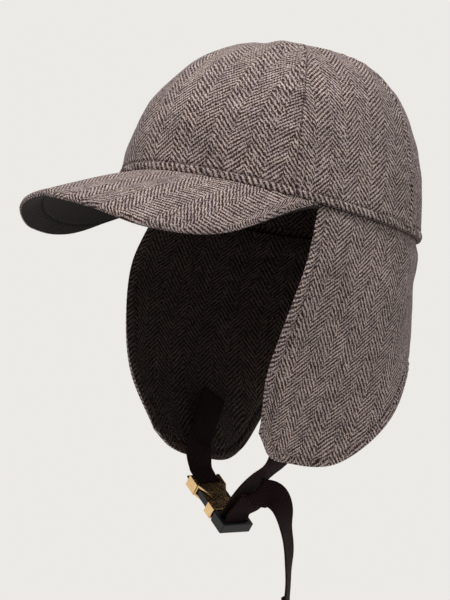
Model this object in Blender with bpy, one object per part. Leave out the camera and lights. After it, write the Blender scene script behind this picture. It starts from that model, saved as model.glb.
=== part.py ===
"""Peaked winter cap with hanging flaps and a buckled chin strap.

Metres, +Z up, front of the cap at -Y, the wearer's left at +X. The origin is the middle of the
crown's opening. The cap is stored as it is worn: tipped back a little, flaps and strap hanging.
"""
import bpy
import bmesh
import numpy as np
from math import asin, cos, pi, radians, sin, sqrt
from mathutils import Matrix, Vector

for old in list(bpy.data.objects):
    bpy.data.objects.remove(old, do_unlink=True)

# Fit between touching pieces
CLEARANCE = 0.0003

# Crown
HEAD_LENGTH = 0.2050
HEAD_WIDTH = 0.1750
CROWN_HEIGHT = 0.1045
CROWN_WALL = 0.0028
WORN_TILT = radians(10.8)
RIM_LIFT = 0.0046
RIM_DIP = 0.0040
CROWN_SET_BACK = 0.0045
RISE_POWER = 1.70
ROUND_POWER = 3.10
FRONT_RISE_POWER = 2.35
FRONT_ROUND_POWER = 2.10
FRONT_SPREAD = 0.70
FRONT_SEAM = 62.2
FRONT_SEAM_LEAN = 2.1
BACK_SEAM = 121.0
CROWN_TOP_HOLE = 0.0030

# Button
BUTTON_DIAMETER = 0.0110
BUTTON_HEIGHT = 0.0030

# Peak
PEAK_REACH = 0.0736
PEAK_CORNER = 73.1
PEAK_THICKNESS = 0.0038
PEAK_LINING = 0.0012
PEAK_EDGE_BAND = 0.0024
PEAK_EDGE_ROUND = 0.0011
PEAK_LEDGE = 0.0002
PEAK_DROP = 0.0400
PEAK_SIDE_POWER = 2.30
PEAK_FRONT_POWER = 2.34

# Flaps
FLAP_FRONT = 74.4
FLAP_DROP = 0.1645
NAPE_DROP = 0.0970
FLAP_THICKNESS = 0.0056
FLAP_EDGE_THICKNESS = 0.0030

# Chin strap
STRAP_WIDTH = 0.0180
STRAP_THICKNESS = 0.0013
STRAP_SEAT = 0.0031

# Buckle
BUCKLE_WIDTH = 0.0240
BUCKLE_THICKNESS = 0.0080
BUCKLE_PITCH = radians(40.2)
BUCKLE_START = (-0.0393, -0.0250, -0.1737)
SOCKET_LENGTH = 0.0323
PLUG_LENGTH = 0.0139
SOCKET_WALL = 0.0013
SLOT_PLAY = 0.0006
SOCKET_BAR_WIDTH = 0.0026
SOCKET_BAR_THICKNESS = 0.0024
SOCKET_SLOT_END = 0.0085
NOTCH_START = 0.0100
NOTCH_END = 0.0250
NOTCH_DEPTH = 0.0062
SLIDER_SLOT = 0.0031
SLIDER_BAR = 0.0026
SLIDER_BAR_THICKNESS = 0.0022
SLIDER_END_BAR = 0.0022
PRONG_WIDTH = 0.0034
PRONG_THICKNESS = 0.0042
PRONG_START = 0.0105

HALF_LENGTH = HEAD_LENGTH / 2
HALF_WIDTH = HEAD_WIDTH / 2

# Height of the peak's edge from its middle to its corner, as shares of PEAK_DROP
PEAK_EDGE_HEIGHT = ((0.0, -0.685), (22.5, -0.825), (45.0, -1.013), (67.5, -0.878), (90.0, -0.103))

# Each flap from its front edge round to the middle of the back. around: share of the way round.
# depth: share between NAPE_DROP and FLAP_DROP. side, forward: shares of the half width and
# half length at a quarter, half, three quarters and all of the way down.
FLAP_COLUMNS = (
    {"around": 0.0, "depth": 0.660, "side": (1.056, 0.972, 0.818, 0.650),
     "forward": (0.423, 0.530, 0.586, 0.515)},
    {"around": 0.07, "depth": 0.849, "side": (1.050, 0.981, 0.835, 0.589),
     "forward": (0.263, 0.371, 0.455, 0.417)},
    {"around": 0.2, "depth": 0.950, "side": (1.020, 0.960, 0.800, 0.531),
     "forward": (-0.029, 0.078, 0.176, 0.249)},
    {"around": 0.4, "depth": 0.965, "side": (0.920, 0.891, 0.794, 0.629),
     "forward": (-0.380, -0.293, -0.195, -0.093)},
    {"around": 0.6, "depth": 0.570, "side": (0.686, 0.720, 0.754, 0.760),
     "forward": (-0.664, -0.581, -0.493, -0.420)},
    {"around": 0.8, "depth": 0.080, "side": (0.394, 0.450, 0.518, 0.588),
     "forward": (-0.868, -0.816, -0.757, -0.693)},
    {"around": 1.0, "depth": 0.000, "side": (0.0, 0.0, 0.0, 0.0),
     "forward": (-0.932, -0.902, -0.878, -0.858)},
)

# The strap's sewn end on a flap's inner face: share round the flap, share of the way down
STRAP_ON_FLAP = ((0.30, 0.74), (0.265, 0.82), (0.225, 0.90), (0.19, 0.965))

# Chosen places along the free tail, with the direction across the webbing
TAIL_ROUTE = (
    ((0.0055, -0.0238, -0.1893), (0.19, 0.97, -0.10)),
    ((0.0114, -0.0231, -0.1845), (0.35, 0.93, 0.00)),
    ((0.0147, -0.0231, -0.1800), (0.51, 0.81, 0.25)),
    ((0.0165, -0.0253, -0.1785), (0.46, 0.59, 0.65)),
    ((0.0208, -0.0241, -0.1797), (0.40, 0.26, 0.80)),
    ((0.0270, -0.0198, -0.1813), (0.15, 0.52, 0.70)),
    ((0.0322, -0.0172, -0.1885), (-0.10, 0.84, 0.25)),
    ((0.0358, -0.0168, -0.2010), (-0.46, 0.87, 0.05)),
    ((0.0376, -0.0158, -0.2160), (-0.56, 0.82, 0.00)),
    ((0.0376, -0.0163, -0.2305), (-0.67, 0.74, 0.00)),
    ((0.0372, -0.0169, -0.2440), (-0.68, 0.73, 0.00)),
)
TAIL_FOLD_DROP = 0.0075
TAIL_FOLD_RISE = 0.0075
TAIL_FOLD_ROUND = 0.0010

# Rows of a crown panel, as shares of the way from its lower edge to its top
CROWN_ROWS = (0.0, 0.10, 0.21, 0.32, 0.43, 0.54, 0.65, 0.76, 0.87, 0.95, 1.0)


def material(name, colour, roughness, metallic=0.0):
    mat = bpy.data.materials.new(name)
    mat.use_nodes = True
    shader = mat.node_tree.nodes["Principled BSDF"]
    shader.inputs["Base Color"].default_value = (*colour, 1.0)
    shader.inputs["Roughness"].default_value = roughness
    shader.inputs["Metallic"].default_value = metallic
    return mat


WOOL = material("herringbone_wool", (0.150, 0.112, 0.098), 0.95)
UNDERSIDE = material("charcoal_twill", (0.032, 0.028, 0.028), 0.90)
WEBBING = material("dark_webbing", (0.022, 0.012, 0.013), 0.80)
GOLD = material("gold_metal", (0.72, 0.50, 0.28), 0.25, 1.0)
BLACK = material("black_plastic", (0.010, 0.011, 0.012), 0.40)


def body_from_mesh(name, points, faces, mat, smooth=True):
    mesh = bpy.data.meshes.new(name)
    mesh.from_pydata([tuple(p) for p in points], [], faces)
    shape = bmesh.new()
    shape.from_mesh(mesh)
    bmesh.ops.recalc_face_normals(shape, faces=shape.faces)
    shape.to_mesh(mesh)
    shape.free()
    mesh.materials.append(mat)
    if smooth:
        mesh.shade_smooth()
        mesh.set_sharp_from_angle(angle=radians(40))
    obj = bpy.data.objects.new(name, mesh)
    bpy.context.scene.collection.objects.link(obj)
    return obj


def sheet_body(name, outer, inner, mat):
    """Closed body between two grids of points with the same rows and columns."""
    rows, cols = outer.shape[:2]
    count = rows * cols
    points = np.concatenate([outer.reshape(-1, 3), inner.reshape(-1, 3)])
    faces = []
    for i in range(rows - 1):
        for j in range(cols - 1):
            a = i * cols + j
            faces.append((a, a + 1, a + cols + 1, a + cols))
            faces.append((count + a, count + a + cols, count + a + cols + 1, count + a + 1))
    ring = [j for j in range(cols)]
    ring += [i * cols + cols - 1 for i in range(1, rows)]
    ring += [(rows - 1) * cols + j for j in range(cols - 2, -1, -1)]
    ring += [i * cols for i in range(rows - 2, 0, -1)]
    for k, a in enumerate(ring):
        b = ring[(k + 1) % len(ring)]
        faces.append((a, count + a, count + b, b))
    return body_from_mesh(name, points, faces, mat)


def smooth_through(points, steps):
    """Catmull-Rom curve through the given values, with steps pieces between neighbours."""
    p = np.asarray(points, float)
    p = np.concatenate([[2 * p[0] - p[1]], p, [2 * p[-1] - p[-2]]])
    out = []
    for k in range(1, len(p) - 2):
        for s in range(steps):
            x = s / steps
            out.append(catmull(p[k - 1], p[k], p[k + 1], p[k + 2], x))
    out.append(p[-2])
    return np.array(out)


def catmull(a, b, c, d, x):
    return 0.5 * (2 * b + (c - a) * x + (2 * a - 5 * b + 4 * c - d) * x ** 2
                  + (3 * b - a - 3 * c + d) * x ** 3)


def read_at(places, values, x):
    """Smooth value at place x of a row of values given at rising places."""
    v = np.asarray(values, float)
    gaps = np.diff(places)
    rates = [(v[1] - v[0]) / gaps[0]]
    rates += [(v[k + 1] - v[k - 1]) / (gaps[k - 1] + gaps[k]) for k in range(1, len(v) - 1)]
    rates.append((v[-1] - v[-2]) / gaps[-1])
    k = int(np.clip(np.searchsorted(places, x, side="right") - 1, 0, len(gaps) - 1))
    f = (x - places[k]) / gaps[k]
    return (v[k] * (1 + 2 * f) * (1 - f) ** 2 + rates[k] * gaps[k] * f * (1 - f) ** 2
            + v[k + 1] * f ** 2 * (3 - 2 * f) - rates[k + 1] * gaps[k] * f ** 2 * (1 - f))


def worn(point):
    """From the cap's own frame to the frame it is worn in, tipped back about X."""
    x, y, z = point
    return np.array([x, y * cos(WORN_TILT) + z * sin(WORN_TILT),
                     -y * sin(WORN_TILT) + z * cos(WORN_TILT)])


def rim_height(turn):
    return RIM_LIFT * cos(turn) - RIM_DIP * sin(turn) ** 2


def crown_powers(turn):
    """Powers of the crown's upright profile at one turn: the front slopes more than the back."""
    front = max(cos(turn), 0.0) ** FRONT_SPREAD
    rise_power = RISE_POWER + (FRONT_RISE_POWER - RISE_POWER) * front
    round_power = ROUND_POWER + (FRONT_ROUND_POWER - ROUND_POWER) * front
    return rise_power, round_power


def crown_radius(turn, rise):
    """Share of the full radius at a rise from the rim, 0, to the top, 1."""
    return cos(rise * pi / 2) ** (2 / crown_powers(turn)[1])


def crown_height(turn, rise):
    """Share of the full height at a rise from the rim, 0, to the top, 1."""
    return sin(rise * pi / 2) ** (2 / crown_powers(turn)[0])


def top_rise(turn):
    """Rise at which the panels end, at the same small radius all round."""
    return 1 - 2 / pi * asin((CROWN_TOP_HOLE / HALF_WIDTH) ** (crown_powers(turn)[1] / 2))


def crown_point(turn, rise, inset=0.0):
    """Crown surface: turn runs from the front round by the left, rise from rim 0 to top 1."""
    radius = crown_radius(turn, rise)
    height = crown_height(turn, rise)
    return worn((
        (HALF_WIDTH - inset) * sin(turn) * radius,
        -(HALF_LENGTH - inset) * cos(turn) * radius + CROWN_SET_BACK * height ** 1.5,
        (CROWN_HEIGHT - inset) * height + rim_height(turn) * (1 - height) ** 2))


def seam_turn(seam, lean, rise):
    height = crown_height(radians(seam), rise)
    return radians(seam + lean * (1 - height) ** 3)


def crown_panel(name, right, left, cols):
    """One gore between two seams, each given as (turn in degrees, lean in degrees)."""
    outer = []
    inner = []
    for share in CROWN_ROWS:
        start = seam_turn(*right, share)
        end = seam_turn(*left, share)
        gaps = [0.5 * CLEARANCE / (crown_radius(t, min(share, top_rise(t))) * min(HALF_WIDTH, HALF_LENGTH))
                for t in (start, end)]
        turns = np.linspace(start + gaps[0], end - gaps[1], cols + 1)
        outer.append([crown_point(t, min(share, top_rise(t))) for t in turns])
        inner.append([crown_point(t, min(share, top_rise(t)), CROWN_WALL) for t in turns])
    return sheet_body(name, np.array(outer), np.array(inner), WOOL)


SEAMS = {"front_left": (FRONT_SEAM, FRONT_SEAM_LEAN), "back_left": (BACK_SEAM, 0.0),
         "back": (180.0, 0.0), "back_right": (360.0 - BACK_SEAM, 0.0),
         "front_right": (360.0 - FRONT_SEAM, -FRONT_SEAM_LEAN)}


def build_crown():
    crown_panel("crown_front", (-FRONT_SEAM, -FRONT_SEAM_LEAN), SEAMS["front_left"], 14)
    crown_panel("crown_side_left", SEAMS["front_left"], SEAMS["back_left"], 7)
    crown_panel("crown_back_left", SEAMS["back_left"], SEAMS["back"], 7)
    crown_panel("crown_back_right", SEAMS["back"], SEAMS["back_right"], 7)
    crown_panel("crown_side_right", SEAMS["back_right"], SEAMS["front_right"], 7)


def build_button():
    """Low covered dome over the meeting point of the panels."""
    profile = ((0.0, 1.0), (0.45, 0.93), (0.80, 0.66), (1.0, 0.22), (0.94, 0.0), (0.0, 0.0))
    steps = 16
    points = []
    rings = []
    for radius_share, height_share in profile:
        radius = radius_share * BUTTON_DIAMETER / 2
        z = CROWN_HEIGHT + CLEARANCE + height_share * BUTTON_HEIGHT
        ring = []
        for k in range(1 if radius == 0 else steps):
            turn = 2 * pi * k / steps
            ring.append(len(points))
            points.append(worn((radius * sin(turn), radius * cos(turn) + CROWN_SET_BACK, z)))
        rings.append(ring)
    faces = []
    for upper, lower in zip(rings, rings[1:]):
        for k in range(steps):
            a = upper[k % len(upper)]
            b = upper[(k + 1) % len(upper)]
            c = lower[(k + 1) % len(lower)]
            d = lower[k % len(lower)]
            faces.append(tuple(dict.fromkeys((a, b, c, d))))
    body_from_mesh("crown_button", points, faces, WOOL)


def power_side(angle, power):
    return (1 if angle >= 0 else -1) * abs(sin(angle)) ** (2 / power)


def peak_station(place):
    """Under edge of the crown and outer edge of the peak at one place, -90 to 90 degrees."""
    corner_x = HALF_WIDTH * sin(radians(PEAK_CORNER))
    corner_y = HALF_LENGTH * cos(radians(PEAK_CORNER))
    angle = radians(place)
    x = corner_x * power_side(angle, PEAK_SIDE_POWER)
    reach = HALF_LENGTH + PEAK_REACH - corner_y
    y = -(corner_y + reach * abs(cos(angle)) ** (2 / PEAK_FRONT_POWER))
    heights = [share * PEAK_DROP for degrees, share in PEAK_EDGE_HEIGHT]
    places = [degrees for degrees, share in PEAK_EDGE_HEIGHT]
    edge = np.array([x, y, read_at(places, heights, abs(place))])
    turn = asin(max(-1.0, min(1.0, x / HALF_WIDTH)))
    return turn, edge


def peak_surface(place, reach, depth):
    """Peak point in the cap's frame: reach 0 at the crown's edge, depth below the top face."""
    turn, edge = peak_station(place)
    rim = np.array([HALF_WIDTH * sin(turn), -HALF_LENGTH * cos(turn),
                    rim_height(turn) - 2 * CLEARANCE])
    top_edge = edge + np.array([0.0, 0.0, PEAK_THICKNESS])
    along = rim + (top_edge - rim) * reach
    crown = 0.10 * (1 - abs(sin(radians(place))) ** 3) * reach * (1 - reach)
    along[2] += crown * PEAK_DROP
    along[2] -= depth
    return along


def peak_under_crown(place, depth):
    """Where the peak runs in under the crown's wall."""
    turn, edge = peak_station(place)
    return np.array([(HALF_WIDTH - CROWN_WALL) * sin(turn), -(HALF_LENGTH - CROWN_WALL) * cos(turn),
                     rim_height(turn) - 2 * CLEARANCE - depth])


PEAK_PLACES = (-88.6, -85.5, -80, -72, -62, -50, -38, -25, -12, 0, 12, 25, 38, 50, 62, 72, 80, 85.5, 88.6)


def peak_length(place):
    turn, edge = peak_station(place)
    rim = np.array([HALF_WIDTH * sin(turn), -HALF_LENGTH * cos(turn), rim_height(turn)])
    return float(np.linalg.norm(edge - rim))


def build_peak():
    top = []
    low = []
    lining_top = []
    lining_low = []
    nest = PEAK_LINING + CLEARANCE
    for place in PEAK_PLACES:
        length = peak_length(place)
        band = 1 - min(PEAK_EDGE_BAND / length, 0.45)
        play = CLEARANCE / length
        tip = 1 - min(PEAK_EDGE_ROUND / length, 0.1)
        ledge = band + PEAK_LEDGE / length
        reaches = [0.0, 0.25 * band, 0.5 * band, 0.75 * band, band, ledge, 0.5 * (band + tip), tip, 1.0]
        tops = [0.0] * 7 + [0.105 * PEAK_THICKNESS, 0.42 * PEAK_THICKNESS]
        lows = [PEAK_THICKNESS - nest] * 5 + [PEAK_THICKNESS] * 2
        lows += [0.947 * PEAK_THICKNESS, 0.632 * PEAK_THICKNESS]
        top.append([worn(peak_under_crown(place, 0.0))]
                   + [worn(peak_surface(place, r, d)) for r, d in zip(reaches, tops)])
        low.append([worn(peak_under_crown(place, PEAK_THICKNESS - nest))]
                   + [worn(peak_surface(place, r, d)) for r, d in zip(reaches, lows)])
        inside = [0.0, 0.25 * band, 0.5 * band, 0.75 * band, band - play]
        lining_top.append([worn(peak_under_crown(place, PEAK_THICKNESS - PEAK_LINING))]
                          + [worn(peak_surface(place, r, PEAK_THICKNESS - PEAK_LINING)) for r in inside])
        lining_low.append([worn(peak_under_crown(place, PEAK_THICKNESS))]
                          + [worn(peak_surface(place, r, PEAK_THICKNESS)) for r in inside])
    sheet_body("peak_top", np.array(top), np.array(low), WOOL)
    sheet_body("peak_underside", np.array(lining_top), np.array(lining_low), UNDERSIDE)


def rim_point(turn, inset, gap):
    """Point just below the crown's lower edge."""
    return worn(((HALF_WIDTH - inset) * sin(turn), -(HALF_LENGTH - inset) * cos(turn),
                 rim_height(turn) - gap))


def flap_column(column):
    """Outer face of a flap at one column: rim, then a quarter, half, three quarters and all down."""
    turn = radians(FLAP_FRONT + (180.0 - FLAP_FRONT) * column["around"])
    rim = rim_point(turn, 0.0, 2 * CLEARANCE)
    drop = -(NAPE_DROP + (FLAP_DROP - NAPE_DROP) * column["depth"])
    points = [rim]
    for k, (side, forward) in enumerate(zip(column["side"], column["forward"])):
        share = (k + 1) / 4
        points.append((side * HALF_WIDTH, -forward * HALF_LENGTH, rim[2] + (drop - rim[2]) * share))
    return points


FLAP_PLACES = [column["around"] for column in FLAP_COLUMNS]
FLAP_GRID = np.array([flap_column(column) for column in FLAP_COLUMNS])


def flap_outer(around, down):
    """Outer face of the left flap, around 0 at its front edge to 1 at the back, down 0 to 1."""
    column = np.array([read_at(FLAP_PLACES, FLAP_GRID[:, k], around) for k in range(FLAP_GRID.shape[1])])
    point = read_at([0, 0.25, 0.5, 0.75, 1.0], column, down)
    point[0] = max(point[0], CLEARANCE / 2)
    return point


def flap_normal(around, down):
    step = 0.01
    a = flap_outer(min(around + step, 1), down) - flap_outer(max(around - step, 0), down)
    d = flap_outer(around, min(down + step, 1)) - flap_outer(around, max(down - step, 0))
    normal = np.cross(a, d)
    normal /= np.linalg.norm(normal)
    if around > 0.999:
        normal[0] = 0.0
    return normal if np.dot(normal, flap_outer(around, down) * (1, 1, 0)) > 0 else -normal


def flap_thickness(around, down):
    """Full in the middle, thinner along the seams at the top, front and lower edges."""
    edge = min(around / 0.06, (1 - around) / 0.04, down / 0.10, (1 - down) / 0.06, 1.0)
    return FLAP_EDGE_THICKNESS + (FLAP_THICKNESS - FLAP_EDGE_THICKNESS) * sqrt(max(edge, 0.0))


def build_flaps():
    arounds = [0, 0.04, 0.10, 0.18, 0.26, 0.34, 0.42, 0.50, 0.58, 0.66, 0.74, 0.82, 0.90, 0.96, 1.0]
    downs = [0, 0.08, 0.18, 0.30, 0.42, 0.54, 0.66, 0.78, 0.88, 0.95, 1.0]
    outer = []
    inner = []
    for down in downs:
        out_row = []
        in_row = []
        for around in arounds:
            point = flap_outer(around, down)
            normal = flap_normal(around, down)
            if down == 0:
                normal = normal * (1, 1, 0) / np.linalg.norm(normal * (1, 1, 0))
            thickness = flap_thickness(around, down)
            spare = (FLAP_THICKNESS - thickness) / 2 if down > 0 else 0.0
            out_row.append(point - normal * spare)
            in_row.append(point - normal * (spare + thickness))
        outer.append(out_row)
        inner.append(in_row)
    outer = np.array(outer)
    inner = np.array(inner)
    outer[:, -1, 0] = CLEARANCE / 2
    inner[:, -1, 0] = CLEARANCE / 2
    sheet_body("flap_left", outer, inner, WOOL)
    mirror = np.array([-1.0, 1.0, 1.0])
    sheet_body("flap_right", outer * mirror, inner * mirror, WOOL)


def strap_on_flap(side):
    """Middle line and crosswise direction of the strap's sewn end on a flap's inner face."""
    mirror = np.array([side, 1.0, 1.0])
    lift = FLAP_THICKNESS + STRAP_SEAT + STRAP_THICKNESS / 2
    line = []
    for around, down in STRAP_ON_FLAP:
        line.append((flap_outer(around, down) - flap_normal(around, down) * lift) * mirror)
    line = np.array(line)
    across = []
    for k, (around, down) in enumerate(STRAP_ON_FLAP):
        along = line[min(k + 1, len(line) - 1)] - line[max(k - 1, 0)]
        cross = np.cross(along, flap_normal(around, down) * mirror)
        cross /= np.linalg.norm(cross)
        across.append(cross if cross[1] > 0 else -cross)
    return list(line), across


BUCKLE_ORIGIN = np.array(BUCKLE_START)
BUCKLE_ALONG = np.array([cos(BUCKLE_PITCH), 0.0, -sin(BUCKLE_PITCH)])
BUCKLE_ACROSS = np.array([0.0, 1.0, 0.0])
BUCKLE_UP = np.array([sin(BUCKLE_PITCH), 0.0, cos(BUCKLE_PITCH)])


def on_buckle(along, up, across=0.0):
    return BUCKLE_ORIGIN + along * BUCKLE_ALONG + up * BUCKLE_UP + across * BUCKLE_ACROSS


def webbing(name, line, across, steps, mat):
    """Flat band along a smooth line, with its crosswise direction turned to stay square to it."""
    middle = smooth_through(line, steps)
    cross = smooth_through(across, steps)
    along = np.gradient(middle, axis=0)
    along /= np.linalg.norm(along, axis=1)[:, None]
    cross -= along * np.sum(cross * along, axis=1)[:, None]
    cross /= np.linalg.norm(cross, axis=1)[:, None]
    face = np.cross(along, cross)
    half = STRAP_WIDTH / 2
    thick = STRAP_THICKNESS / 2
    outer = np.stack([middle + cross * half * s + face * thick for s in (-1, 0, 1)], axis=1)
    inner = np.stack([middle + cross * half * s - face * thick for s in (-1, 0, 1)], axis=1)
    return sheet_body(name, outer, inner, mat)


def slider_places():
    """Starts of the plug's two slots and of the bar between them, along the buckle."""
    end = SOCKET_LENGTH + CLEARANCE + PLUG_LENGTH
    second = end - SLIDER_END_BAR - SLIDER_SLOT
    bar = second - SLIDER_BAR
    first = bar - SLIDER_SLOT
    return first, bar, second, end


def build_straps():
    """Right strap looped on the socket's bar; left strap through the plug, with its free tail."""
    layer = STRAP_THICKNESS / 2 + CLEARANCE
    over = BUCKLE_THICKNESS / 2 + layer
    cross = (0.0, 1.0, 0.0)
    line, across = strap_on_flap(-1)
    bar_half = SOCKET_BAR_THICKNESS / 2
    route = [on_buckle(-0.0065, over - 0.0005), on_buckle(-0.0005, over - 0.0018),
             on_buckle(SOCKET_BAR_WIDTH, over - 0.0024), on_buckle(SOCKET_BAR_WIDTH + 0.0022, bar_half),
             on_buckle(SOCKET_BAR_WIDTH + 0.0014, -bar_half - layer),
             on_buckle(0.0, -bar_half - layer - 0.0006), on_buckle(-0.0045, -0.0012)]
    webbing("chin_strap_right", line + route, across + [cross] * len(route), 3, WEBBING)

    line, across = strap_on_flap(1)
    first, bar, second, end = slider_places()
    low = -SLIDER_BAR_THICKNESS / 2
    bend = layer + 0.0001
    slant = bend * sqrt(0.5)
    route = [(0.0398, -0.0263, -0.1590), (0.0240, -0.0255, -0.1678), (0.0096, -0.0250, -0.1765),
             (0.0, -0.0250, -0.1850),
             on_buckle(first + 0.45 * SLIDER_SLOT, over), on_buckle(first + 0.5 * SLIDER_SLOT, -low),
             on_buckle(bar - bend, low), on_buckle(bar - slant, low - slant),
             on_buckle(bar, low - bend), on_buckle(second, low - bend),
             on_buckle(second + slant, low - slant), on_buckle(second + bend, low),
             on_buckle(second + 0.5 * SLIDER_SLOT, -low), on_buckle(second + 0.4 * SLIDER_SLOT, over),
             on_buckle(second + 0.2 * SLIDER_SLOT, 1.8 * over)]
    crosses = [cross] * len(route)
    tail = [np.array(point) for point, direction in TAIL_ROUTE]
    tail_cross = [np.array(direction) for point, direction in TAIL_ROUTE]
    last = tail[-1]
    facing = np.array([-tail_cross[-1][1], tail_cross[-1][0], 0.0])
    step = facing * (STRAP_THICKNESS + 2 * CLEARANCE)
    tail += [last + np.array([0.0, 0.0, TAIL_FOLD_ROUND - TAIL_FOLD_DROP]),
             last + step * 0.5 + np.array([0.0, 0.0, -CLEARANCE - TAIL_FOLD_DROP]),
             last + step + np.array([0.0, 0.0, TAIL_FOLD_ROUND - TAIL_FOLD_DROP]),
             last + step + np.array([0.0, 0.0, TAIL_FOLD_RISE - TAIL_FOLD_DROP])]
    tail_cross += [tail_cross[-1]] * 4
    webbing("chin_strap_left", line + route + tail, across + crosses + tail_cross, 3, WEBBING)


def buckle_frame():
    """Empty at the socket's free end, +X along the buckle, +Y across, +Z out of its upper face."""
    frame = bpy.data.objects.new("buckle_frame", None)
    bpy.context.scene.collection.objects.link(frame)
    turn = Matrix((BUCKLE_ALONG, BUCKLE_ACROSS, BUCKLE_UP)).transposed().to_4x4()
    frame.matrix_world = Matrix.Translation(BUCKLE_ORIGIN) @ turn
    return frame


def block(name, low, high, mat, frame, cutter=False):
    """Box between two corners in the buckle's frame."""
    (x0, y0, z0), (x1, y1, z1) = low, high
    points = [(x, y, z) for x in (x0, x1) for y in (y0, y1) for z in (z0, z1)]
    faces = [(0, 1, 3, 2), (4, 6, 7, 5), (0, 4, 5, 1), (2, 3, 7, 6), (0, 2, 6, 4), (1, 5, 7, 3)]
    obj = body_from_mesh(name, points, faces, mat, smooth=False)
    obj.parent = frame
    if cutter:
        obj.hide_render = True
        obj.display_type = "WIRE"
    return obj


def prism(name, outline, z0, z1, mat, frame, cutter=False):
    """Straight prism over a plan outline in the buckle's frame."""
    count = len(outline)
    points = [(x, y, z0) for x, y in outline] + [(x, y, z1) for x, y in outline]
    faces = [tuple(range(count)), tuple(range(2 * count - 1, count - 1, -1))]
    faces += [(k, (k + 1) % count, count + (k + 1) % count, count + k) for k in range(count)]
    obj = body_from_mesh(name, points, faces, mat, smooth=False)
    obj.parent = frame
    if cutter:
        obj.hide_render = True
        obj.display_type = "WIRE"
    return obj


def combine(obj, other, operation):
    mod = obj.modifiers.new(other.name, "BOOLEAN")
    mod.operation = operation
    mod.object = other
    mod.solver = "EXACT"
    if operation == "UNION":
        other.hide_render = True
        other.display_type = "WIRE"


def soften(obj, width):
    mod = obj.modifiers.new("edges", "BEVEL")
    mod.width = width
    mod.segments = 2
    mod.limit_method = "ANGLE"
    mod.angle_limit = radians(40)


def build_socket(frame):
    half = BUCKLE_WIDTH / 2
    thick = BUCKLE_THICKNESS / 2
    arm = (BUCKLE_WIDTH - STRAP_WIDTH) / 2 - SLOT_PLAY
    socket = block("buckle_socket", (0, -half, -thick), (SOCKET_LENGTH, half, thick), GOLD, frame)
    soften(socket, 0.0006)
    opening = half - arm
    upper = block("cut_slot_upper", (-0.001, -opening, SOCKET_BAR_THICKNESS / 2),
                  (SOCKET_SLOT_END, opening, 2 * thick), GOLD, frame, True)
    lower = block("cut_slot_lower", (-0.001, -opening, -2 * thick),
                  (SOCKET_SLOT_END, opening, -SOCKET_BAR_THICKNESS / 2), GOLD, frame, True)
    through = block("cut_slot_through", (SOCKET_BAR_WIDTH, -opening, -2 * thick),
                    (SOCKET_SLOT_END, opening, 2 * thick), GOLD, frame, True)
    cavity = block("cut_cavity", (SOCKET_SLOT_END + SOCKET_WALL, -half + SOCKET_WALL, SOCKET_WALL - thick),
                   (SOCKET_LENGTH + 0.001, half - SOCKET_WALL, thick - SOCKET_WALL), GOLD, frame, True)
    for cutter in (upper, lower, through, cavity):
        combine(socket, cutter, "DIFFERENCE")
    for side in (-1, 1):
        outline = [(NOTCH_START, side * (half + 0.001)), (NOTCH_START, side * (half - 0.0010)),
                   (0.80 * NOTCH_END, side * (half - NOTCH_DEPTH)), (NOTCH_END, side * (half - 0.0012)),
                   (NOTCH_END, side * (half + 0.001))]
        notch = prism("cut_notch_" + ("front" if side < 0 else "back"), outline, -2 * thick, 2 * thick,
                      GOLD, frame, True)
        combine(socket, notch, "DIFFERENCE")


def build_plug(frame):
    half = BUCKLE_WIDTH / 2
    thick = BUCKLE_THICKNESS / 2 - 0.0004
    start = SOCKET_LENGTH + CLEARANCE
    first, bar, second, end = slider_places()
    inner = thick - 0.0010
    outline = [(start, -half + 0.0012), (first - 0.0010, -half), (end, -half), (end, half),
               (first - 0.0010, half), (start, half - 0.0012)]
    plug = prism("buckle_plug", outline, -thick, thick, BLACK, frame)
    soften(plug, 0.0007)
    clear = STRAP_WIDTH / 2 + SLOT_PLAY
    for name, low, high in (("first", first, bar), ("second", second, second + SLIDER_SLOT)):
        slot = block("cut_slider_" + name, (low, -clear, -2 * thick), (high, clear, 2 * thick),
                     BLACK, frame, True)
        combine(plug, slot, "DIFFERENCE")
    recess = block("cut_slider_under", (first, -clear, -2 * thick),
                   (end - SLIDER_END_BAR, clear, -SLIDER_BAR_THICKNESS / 2), BLACK, frame, True)
    combine(plug, recess, "DIFFERENCE")
    shelf = block("cut_slider_over", (first, -clear, SLIDER_BAR_THICKNESS / 2),
                  (end - SLIDER_END_BAR, clear, 2 * thick), BLACK, frame, True)
    combine(plug, shelf, "DIFFERENCE")
    side_gap = SOCKET_WALL + CLEARANCE
    for side in (-1, 1):
        outer = side * (half - side_gap)
        outline = [(start + 0.001, outer), (start + 0.001, outer - side * PRONG_WIDTH),
                   (PRONG_START + 0.001, outer - side * PRONG_WIDTH), (PRONG_START, outer - side * 0.0020),
                   (PRONG_START + 0.002, outer)]
        prong = prism("prong_" + ("front" if side < 0 else "back"), outline, -PRONG_THICKNESS / 2,
                      PRONG_THICKNESS / 2, BLACK, frame)
        combine(plug, prong, "UNION")
    tongue = block("tongue", (SOCKET_LENGTH - 0.012, -0.0016, -PRONG_THICKNESS / 2),
                   (start + 0.001, 0.0016, PRONG_THICKNESS / 2), BLACK, frame)
    combine(plug, tongue, "UNION")


build_crown()
build_button()
build_peak()
build_flaps()
build_straps()
buckle = buckle_frame()
build_socket(buckle)
build_plug(buckle)
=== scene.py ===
from math import cos, pi, radians, sin

import bpy
import bmesh
import numpy as np
from mathutils import Matrix, Vector


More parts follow.
